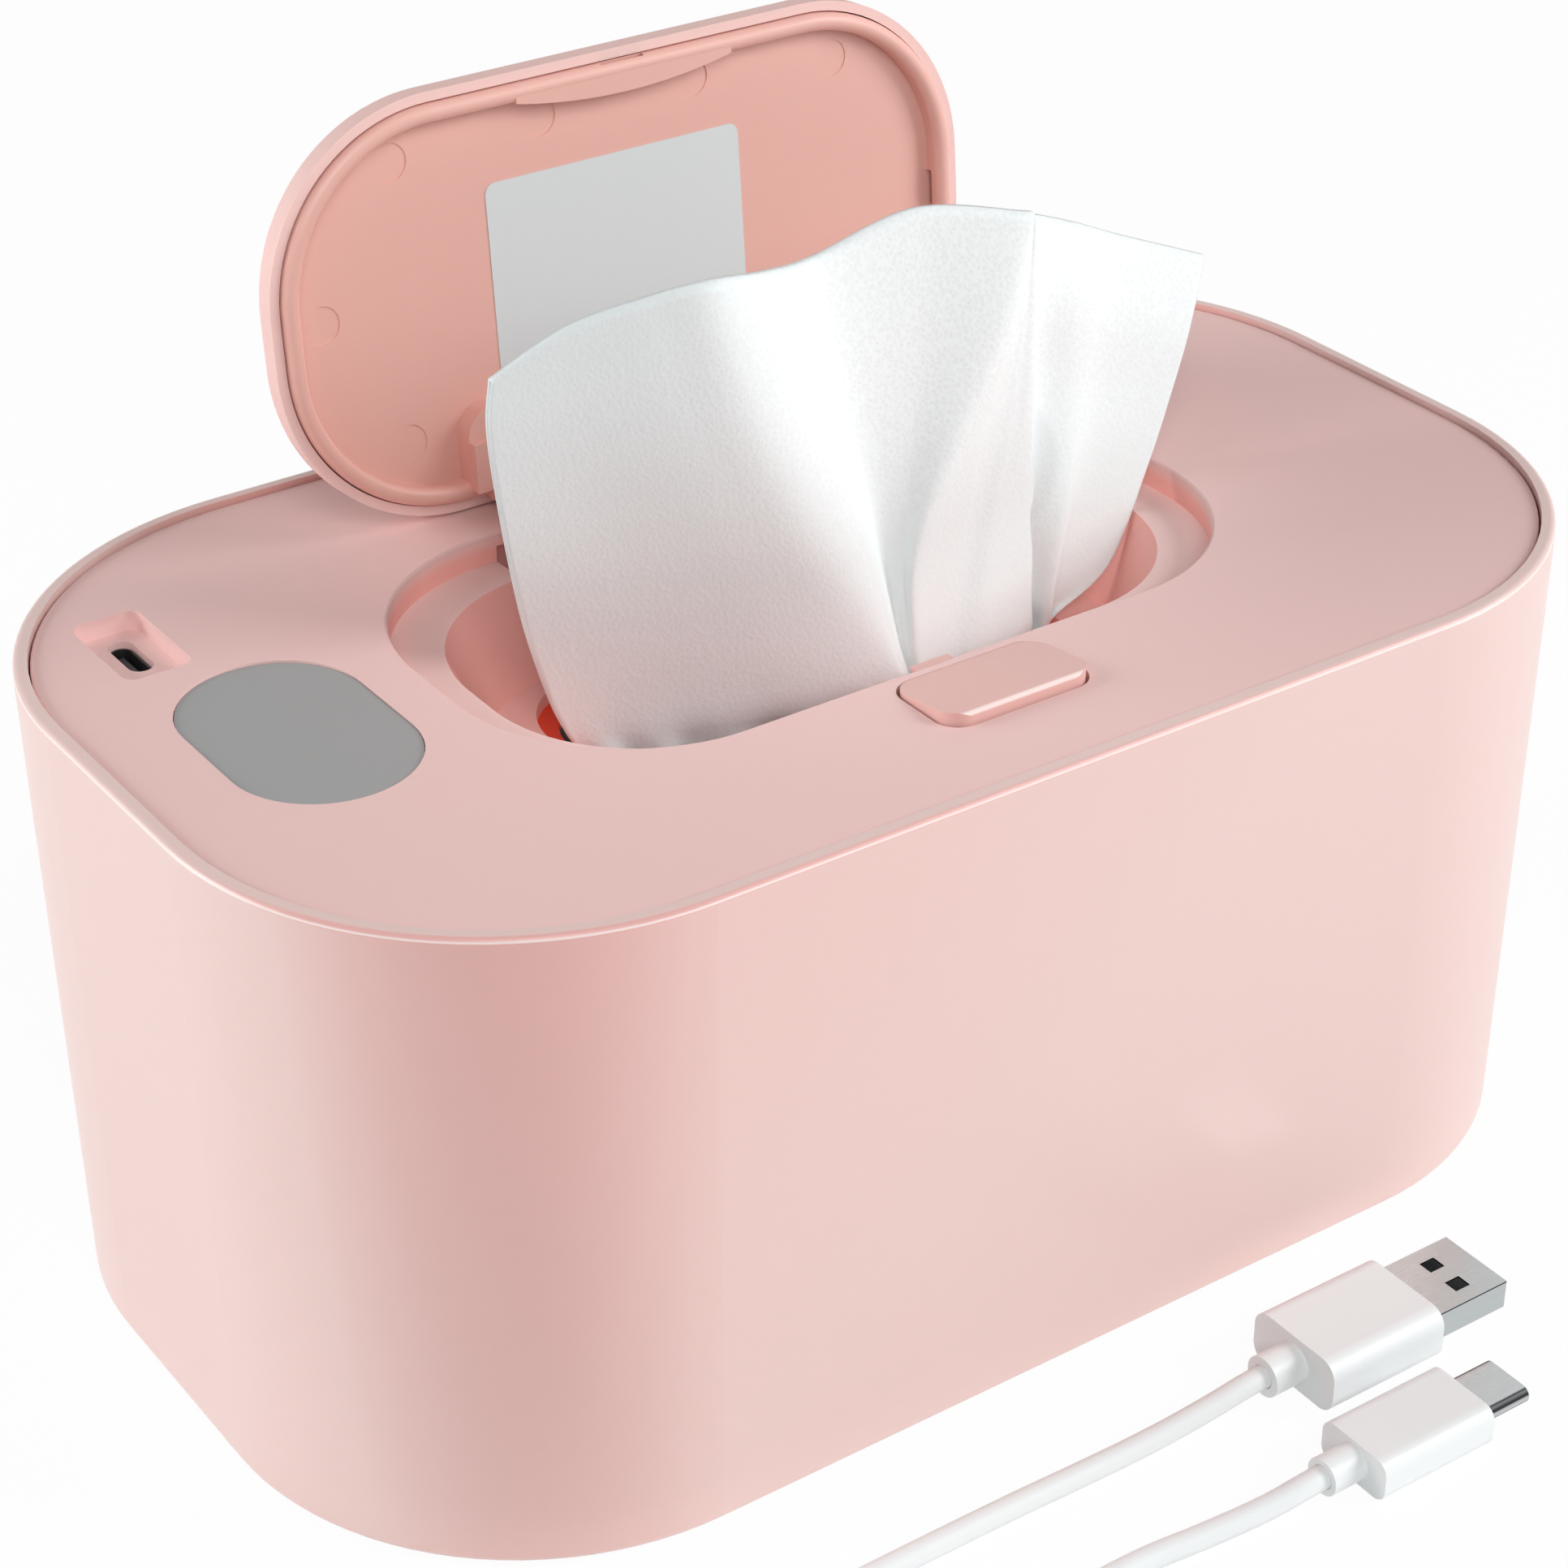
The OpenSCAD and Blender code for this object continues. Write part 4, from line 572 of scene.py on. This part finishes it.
# Display and boards.
# A grey smoked acrylic window lies in its pocket over the display module; the boards below it
# are green glass laminate, held on their bosses by screws.
SMOKE_GREY = (0.37, 0.372, 0.372)
LAMINATE_GREEN = (0.02, 0.16, 0.06)

dress(
    plastic("smoked acrylic", SMOKE_GREY, roughness=0.58, mottle=0.02, bump=0.01, specular=0.25),
    "display_window",
)
dress(black, "display_module")
dress(
    plastic("green laminate", LAMINATE_GREEN, roughness=0.3, grain=1200, mottle=0.15),
    "control_board", "port_board",
)


# Pulled wipe.
# One wipe of spun-lace viscose, folded once into two layers and pulled up through the throat. It is
# gathered in the hole and fans out above it, with one long crest and an upright fold.
WIPE_PLY = 0.35
# Each column follows a fold line upwards: (x, y, z) in millimetres
WIPE_COLUMNS = [
    [(-30, 1.4, 59.5), (-34.4, 3, 74), (-36.7, 4, 79), (-39, 4.5, 85),
     (-42.3, 4.5, 97), (-45, 4, 112), (-46.5, 4, 126), (-45.8, 4, 133.3)],
    [(-20.5, -0.3, 59.5), (-22.6, -0.8, 74), (-23.8, -1, 79), (-25.6, -0.7, 85),
     (-29.5, -0.3, 97), (-33.4, 0.2, 112), (-35.8, 0, 126), (-36.5, 0.2, 139.5)],
    [(-3.5, -3, 59.5), (-3.9, -6.4, 74), (-4.1, -8.5, 79), (-6.6, -8.2, 85),
     (-11.5, -7.2, 97), (-17.8, -6.2, 112), (-23.1, -5.2, 126), (-27.1, -4, 142.6)],
    [(5.4, -4, 59.5), (6, -8.6, 74), (6.3, -11.5, 79), (3.6, -11, 85),
     (-1.8, -10, 97), (-8.5, -9, 112), (-14.2, -8, 126), (-19.3, -7, 144.1)],
    [(7.3, -3.8, 59.5), (8.1, -8.2, 74), (8.5, -11, 79), (7, -10.5, 85),
     (4.2, -9, 97), (-0.6, -7.5, 112), (-5.1, -6, 126), (-9.6, -4.5, 142)],
    [(8.3, -3.5, 59.5), (9.2, -7.5, 74), (9.7, -10, 79), (8.7, -9, 85),
     (7.8, -6, 97), (5.3, -3.5, 112), (3, -1.5, 126), (1.1, 0, 139.9)],
    [(8.7, -3.7, 59.5), (9.6, -7.9, 74), (10.1, -10.5, 79), (9.5, -10, 85),
     (10.2, -7.5, 97), (12.5, -5, 112), (14.7, -3, 126), (16.4, -1.5, 143.5)],
    [(9.4, -4, 59.5), (10.4, -8.6, 74), (10.9, -11.5, 79), (10.6, -11, 85),
     (11.7, -9.5, 97), (18.6, -8.5, 112), (26, -7.5, 126), (30.7, -6, 141.2)],
    [(13.7, -3.5, 59.5), (15.1, -7.5, 74), (15.9, -10, 79), (17.4, -9, 85),
     (21.6, -7, 97), (25.9, -6.5, 112), (29.7, -6, 126), (32, -5.5, 140.5)],
    [(18.7, -3.8, 59.5), (20.7, -8.2, 74), (21.8, -11, 79), (23, -10, 85),
     (26.2, -7.2, 97), (29.6, -6.3, 112), (31.6, -5.7, 126), (32.8, -5.3, 140.1)],
    [(26.4, -3.3, 59.5), (29.2, -7.1, 74), (30.7, -9.5, 79), (31.4, -8.5, 85),
     (32.9, -6.5, 97), (33.1, -6, 112), (33.4, -5.5, 126), (33.7, -5, 139.7)],
    [(28.9, -2.1, 59.5), (31.9, -4.5, 74), (33.6, -6, 79), (32.7, -7, 85),
     (33, -6.5, 97), (35.7, -3, 112), (36, -2.5, 126), (38.6, 0.5, 136.7)],
    [(29.8, -3.1, 59.5), (32.9, -6.6, 74), (34.6, -8.8, 79), (35.2, -9.3, 85),
     (37.9, -8.2, 97), (42, -3.8, 112), (43.1, -2.6, 126), (46, 1, 133.6)],
    [(30, -2.1, 59.5), (34.4, -4.5, 74), (37.5, -6, 79), (38.1, -6.8, 85),
     (43, -5.8, 97), (48.5, -3, 110), (51.1, -1.5, 121), (53.8, 1.5, 129.9)],
    [(30, -2.4, 59.5), (34.4, -5.2, 74), (37.6, -7, 79), (46.3, -8, 85),
     (54.7, -5.5, 97), (59.9, -4, 107), (63.4, -3, 115), (68.3, 0, 123.9)],
]
WIPE_ACROSS = 12
WIPE_UP = 8
PLY_GAP = 0.75
GATHER_DEPTH = 5.0
GATHER_FOLDS = 170
GATHER_LEAN = 2
GATHER_FADE = 12
PITS_PER_M = 1500
FIBRES_PER_M = 2400
DAMP_PER_M = 60
CLOTH_LEVEL = 0.55
CLOTH_RISE = (0.3, 0.7)
CLOTH_SHADE = 0.07
CLOTH_ROUGHNESS = 0.72
DAMP_ROUGHNESS = 0.15
CLOTH_BUMP = 0.4
CLOTH_DEPTH = 0.0001
CLOTH_SHEEN = 0.1
CLOTH_SOFT = 0.12
CLOTH_REACH = 0.0006
PULLED_WHITE = (0.88, 0.93, 0.935)
# Painted shade grey for the left fold and a patch, and a cooler white painted low against pink
# bounce light
PAINTED_SHADE_GREY = (0.755, 0.815, 0.82)
BOUNCE_CANCEL_WHITE = (0.83, 0.925, 0.93)
BOUNCE_CANCEL_HEIGHT = (0.122, 0.09)
# Places on the wipe's own map, across and up
SHADE_LEFT = (0.27, 0.12)
SHADE_SPOT = (0.775, 0.31)
SHADE_SPOT_SIZE = (0.065, 0.04)
SHADE_SPOT_EDGE = (1.0, 0.6)
SHADE_SPOT_SHARE = 0.8


def through(points, t):
    """A point on the smooth curve through the given points, t running from 0 to 1."""
    span = t * (len(points) - 1)
    k = min(int(span), len(points) - 2)
    f = span - k
    a, b, c, d = (points[min(max(k + i, 0), len(points) - 1)] for i in (-1, 0, 1, 2))
    return 0.5 * (
        2 * b + (c - a) * f
        + (2 * a - 5 * b + 4 * c - d) * f ** 2
        + (3 * b - 3 * c + d - a) * f ** 3
    )


def wipe_point(across, up):
    """A point of the wipe's front layer."""
    lines = [through([Vector(p) for p in column], up) for column in WIPE_COLUMNS]
    return through(lines, across)


def wipe_mesh():
    """Both layers as one grid: up the front, over the top edge and down the back."""
    columns = WIPE_ACROSS * (len(WIPE_COLUMNS) - 1)
    rows = WIPE_UP * (len(WIPE_COLUMNS[0]) - 1)
    both = 2 * rows + 1
    bm = bmesh.new()
    uv = bm.loops.layers.uv.new("UVMap")
    bmesh.ops.create_grid(bm, x_segments=columns, y_segments=both, size=1.0)
    for face in bm.faces:
        for loop in face.loops:
            loop[uv].uv = ((loop.vert.co.x + 1) / 2, (loop.vert.co.y + 1) / 2)
    for vert in bm.verts:
        across = (vert.co.x + 1) / 2
        row = (vert.co.y + 1) / 2 * both
        behind = row > rows + 0.5
        up = (both - row) / rows if behind else row / rows
        up = min(max(up, 0), 1)
        place = wipe_point(across, up)
        gather = GATHER_DEPTH * (1 - up) ** GATHER_FADE
        place.y += gather * math.sin(across * GATHER_FOLDS + up * GATHER_LEAN)
        place.y += PLY_GAP if behind else 0
        vert.co = place * MM
    mesh = bpy.data.meshes.new("pulled_wipe")
    bm.to_mesh(mesh)
    bm.free()
    return mesh


def cloth_group():
    """Spun-lace cloth: a close speckle of pits between fine fibres, glossier where damp."""
    tree, entry, leave = group("spun-lace cloth", SKIN_IN, SKIN_OUT)
    place = tree.nodes.new("ShaderNodeTexCoord")
    pits = tree.nodes.new("ShaderNodeTexVoronoi")
    pits.inputs["Scale"].default_value = PITS_PER_M
    tree.links.new(place.outputs["Object"], pits.inputs["Vector"])
    height = maths(tree, "ADD", pits.outputs["Distance"], noise(tree, FIBRES_PER_M, 3.0, 0.65))
    raised = rising(tree, maths(tree, "MULTIPLY", height, CLOTH_LEVEL), *CLOTH_RISE)
    shade = maths(tree, "MULTIPLY", maths(tree, "SUBTRACT", raised, 1.0), CLOTH_SHADE)
    damp = maths(tree, "MULTIPLY", noise(tree, DAMP_PER_M, 2.0, 0.5), DAMP_ROUGHNESS)
    shade_skin(tree, entry, leave, shade, damp, height)
    return tree


CLOTH = cloth_group()


def fabric(name, colour):
    """A cloth whose weave comes from the group above, with a soft sheen."""
    values = {"Colour": (*colour, 1), "Roughness": CLOTH_ROUGHNESS}
    made, shader = skinned(name, CLOTH, values, CLOTH_BUMP, CLOTH_DEPTH)
    shader.inputs["Sheen Weight"].default_value = CLOTH_SHEEN
    shader.inputs["Subsurface Weight"].default_value = CLOTH_SOFT
    shader.inputs["Subsurface Radius"].default_value = (1.0, 1.0, 1.0)
    shader.inputs["Subsurface Scale"].default_value = CLOTH_REACH
    return made


def from_spot(tree, place, middle, size):
    """The squared distance from the middle of a spot, where its edge lies at 1."""
    apart = maths(tree, "DIVIDE", maths(tree, "SUBTRACT", place, middle), size)
    return maths(tree, "POWER", maths(tree, "ABSOLUTE", apart), 2.0)


def painted_shade_patches(material):
    """Paints shade grey on the left fold and by the upright fold, and cancels pink bounce light low
    down.
    """
    tree = material.node_tree
    spread = tree.nodes.new("ShaderNodeUVMap")
    spread.uv_map = "UVMap"
    part = tree.nodes.new("ShaderNodeSeparateXYZ")
    tree.links.new(spread.outputs["UV"], part.inputs["Vector"])
    height = along_axis(tree, "Object", "Z")
    overlay(material, BOUNCE_CANCEL_WHITE, rising(tree, height, *BOUNCE_CANCEL_HEIGHT))
    overlay(material, PAINTED_SHADE_GREY, rising(tree, part.outputs["X"], *SHADE_LEFT))
    aside, along = (
        from_spot(tree, part.outputs[axis], middle, size)
        for axis, middle, size in zip("XY", SHADE_SPOT, SHADE_SPOT_SIZE)
    )
    spot = rising(tree, maths(tree, "ADD", aside, along), *SHADE_SPOT_EDGE)
    overlay(material, PAINTED_SHADE_GREY, maths(tree, "MULTIPLY", spot, SHADE_SPOT_SHARE))


def add(name, mesh, body, slot, material, *stands_for, smooth=True):
    """Links a finished mesh as a piece that rides on a body and stands for CAD nodes."""
    piece = bpy.data.objects.new(name, mesh)
    scene.collection.objects.link(piece)
    for polygon in mesh.polygons:
        polygon.use_smooth = smooth
    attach(piece, body)
    dress(material, piece)
    if stands_for:
        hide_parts(*stands_for)
    return piece


def apply_modifiers(piece):
    """Bakes the modifiers of a piece into its mesh."""
    bpy.context.view_layer.update()
    shaped = piece.evaluated_get(bpy.context.evaluated_depsgraph_get())
    mesh = bpy.data.meshes.new_from_object(shaped)
    piece.modifiers.clear()
    piece.data = mesh


pulled_white = fabric("pulled wipe cloth", PULLED_WHITE)
painted_shade_patches(pulled_white)
wipe = add("wipe_pulled_up", wipe_mesh(), "cover", "wipe_cloth", pulled_white, "pulled_wipe")
skin = wipe.modifiers.new("ply", "SOLIDIFY")
skin.thickness = WIPE_PLY * MM
skin.offset = 0
apply_modifiers(wipe)
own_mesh(wipe)


# Stack of wipes.
# Wet wipes, each folded once, piled in the tub. Their folded backs lie a little out of line.
WIPE_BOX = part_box("wipe_stack")
FOLDED_WIPES = 25
PILE_SEED = 7
PILE_WHITE = (0.885, 0.925, 0.93)
LARGEST_SHRINK = 0.0016
SLIP_SHARE = 0.9
LAYER_SHARE = 0.96
ROUNDING_SHARE = 0.42


def rise(edge):
    """How far one end of an edge lies above the other."""
    return abs(edge.verts[0].co.z - edge.verts[1].co.z)


def stack_mesh():
    """A pile of flat loops, each one wipe folded over, with slightly shifted edges."""
    low, high = (Vector(corner) for corner in WIPE_BOX)
    pitch = (high.z - low.z) / FOLDED_WIPES
    rng = random.Random(PILE_SEED)
    bm = bmesh.new()
    for k in range(FOLDED_WIPES):
        bed = bmesh.ops.create_cube(bm, size=1.0)["verts"]
        shrink = rng.uniform(0.0, LARGEST_SHRINK)
        size = Vector((
            high.x - low.x - 2 * shrink, high.y - low.y - 2 * shrink, pitch * LAYER_SHARE))
        bmesh.ops.scale(bm, vec=size, verts=bed)
        slip = rng.uniform(-SLIP_SHARE, SLIP_SHARE) * shrink
        bmesh.ops.translate(bm, vec=(slip, -slip, low.z + pitch * (k + 0.5)), verts=bed)
        rims = [edge for edge in bm.edges if edge.verts[0] in bed and rise(edge) < pitch / 2]
        bmesh.ops.bevel(
            bm, geom=rims, offset=pitch * ROUNDING_SHARE, offset_type="OFFSET", segments=3,
            profile=0.5, affect="EDGES", material=-1)
    mesh = bpy.data.meshes.new("wipe_pile")
    bm.to_mesh(mesh)
    bm.free()
    return mesh


wipe_white = fabric("wipe cloth", PILE_WHITE)
pile = add("wipe_pile", stack_mesh(), "housing", "wipe_cloth", wipe_white, "wipe_stack")


# Lid plate.
# A bare plate of grey film sticks to the inside of the lid, behind the wipe. It is set in the
# shut lid's own measures, in millimetres, and swung open with it.
HINGE = Vector((0, 36.6, 89.7))
LID_OPEN = math.radians(94.5)
LID_REAR = 29.9
PANEL_FACE = 94.55
OPENED = Matrix.Translation(HINGE) @ Matrix.Rotation(-LID_OPEN, 4, "X") @ Matrix.Translation(-HINGE)
PLATE_LEFT = -21.9
PLATE_RIGHT = 19.5
PLATE_TOP = 44.8
PLATE_H = 35
PLATE_T = 0.12
PLATE_CORNER = 1.6
PLATE_GLUE = 0.01
FILM_GREY = (0.655, 0.695, 0.7)


def lid_plate():
    """A thin film with rounded corners on the panel's inner face."""
    bm = bmesh.new()
    body = bmesh.ops.create_cube(bm, size=1.0)["verts"]
    bmesh.ops.scale(bm, vec=(PLATE_RIGHT - PLATE_LEFT, PLATE_H, PLATE_T), verts=body)
    upright = [edge for edge in bm.edges if rise(edge) > PLATE_T / 2]
    bmesh.ops.bevel(
        bm, geom=upright, offset=PLATE_CORNER, offset_type="OFFSET", segments=8,
        profile=0.5, affect="EDGES", material=-1)
    middle = Vector((
        (PLATE_LEFT + PLATE_RIGHT) / 2,
        LID_REAR - PLATE_TOP + PLATE_H / 2,
        PANEL_FACE - PLATE_T / 2 - PLATE_GLUE,
    ))
    bmesh.ops.translate(bm, vec=middle, verts=bm.verts)
    bm.transform(Matrix.Scale(MM, 4) @ OPENED)
    mesh = bpy.data.meshes.new("lid_plate")
    bm.to_mesh(mesh)
    bm.free()
    return mesh


film = plastic("grey film", FILM_GREY, grain=900, mottle=0.02, bump=0.03)
add("lid_bare_plate", lid_plate(), "lid", "white_plastic", film, smooth=False)


# Floor and light.
# A plain white floor, and four wide soft lights: from the left and behind, two from the right,
# and from high in front. The surround adds little, so that folds and edges keep their shade.
FLOOR_HALF = 4.0
FLOOR_WHITE = (0.95, 0.95, 0.95, 1)
FLOOR_ROUGHNESS = 0.9
FLOOR_SEEN_WHITE = 0.95
WHITE = (1, 1, 1, 1)
SURROUND = 0.1
LIGHT_AIM = (0, 0, 0.05)
# Name, place in metres, width in metres and power in watts
LIGHTS = [
    ("light_left", (-1.05, 0.65, 0.45), 0.7, 11.1),
    ("light_right", (1.0, -0.8, 0.8), 0.7, 11.8),
    ("light_low", (1.1, -0.9, 0.2), 0.6, 2.9),
    ("light_front", (-0.5, -1.1, 1.1), 0.8, 10.4),
]


def seen_white(tree):
    """One for rays that reach the camera straight, by a mirror or through glass, else zero."""
    ray = tree.nodes.new("ShaderNodeLightPath").outputs
    mirrored = maths(tree, "ADD", ray["Is Glossy Ray"], ray["Is Transmission Ray"])
    seen = maths(tree, "ADD", ray["Is Camera Ray"], mirrored)
    seen.node.use_clamp = True
    return seen


def blended(tree, share, first, second):
    """A mix of two shaders, with a share of the second from 0 to 1."""
    made = tree.nodes.new("ShaderNodeMixShader")
    tree.links.new(share, made.inputs["Fac"])
    tree.links.new(first, made.inputs[1])
    tree.links.new(second, made.inputs[2])
    return made.outputs["Shader"]


def camera_white(tree, shader, share):
    """Mixes a plain white into what the camera sees of a floor."""
    glow = tree.nodes.new("ShaderNodeEmission")
    glow.inputs["Color"].default_value = WHITE
    glow.inputs["Strength"].default_value = 1.0
    seen = maths(tree, "MULTIPLY", seen_white(tree), share)
    return blended(tree, seen, shader, glow.outputs["Emission"])


bm = bmesh.new()
bmesh.ops.create_grid(bm, x_segments=2, y_segments=2, size=FLOOR_HALF)
floor_mesh = bpy.data.meshes.new("floor")
bm.to_mesh(floor_mesh)
bm.free()
floor = bpy.data.objects.new("floor", floor_mesh)
scene.collection.objects.link(floor)
floor_material = bpy.data.materials.new("floor white")
floor_material.use_nodes = True
floor_tree = floor_material.node_tree
floor_shader = floor_tree.nodes["Principled BSDF"]
floor_shader.inputs["Base Color"].default_value = FLOOR_WHITE
floor_shader.inputs["Roughness"].default_value = FLOOR_ROUGHNESS
floor_out = camera_white(floor_tree, floor_shader.outputs["BSDF"], FLOOR_SEEN_WHITE)
floor_tree.links.new(floor_out, floor_tree.nodes["Material Output"].inputs["Surface"])
floor.data.materials.append(floor_material)

world = bpy.data.worlds.new("studio")
scene.world = world
world.use_nodes = True
world_tree = world.node_tree
surround = world_tree.nodes["Background"]
surround.inputs["Color"].default_value = WHITE
surround.inputs["Strength"].default_value = SURROUND
white_back = world_tree.nodes.new("ShaderNodeBackground")
white_back.inputs["Color"].default_value = WHITE
white_back.inputs["Strength"].default_value = 1.0
world_out = blended(
    world_tree, seen_white(world_tree), surround.outputs["Background"],
    white_back.outputs["Background"])
world_tree.links.new(world_out, world_tree.nodes["World Output"].inputs["Surface"])

for name, place, width, power in LIGHTS:
    light_data = bpy.data.lights.new(name, "AREA")
    light_data.size = width
    light_data.energy = power
    light = bpy.data.objects.new(name, light_data)
    scene.collection.objects.link(light)
    light.location = place
    light.rotation_mode = "QUATERNION"
    light.rotation_quaternion = (Vector(LIGHT_AIM) - Vector(place)).to_track_quat("-Z", "Y")
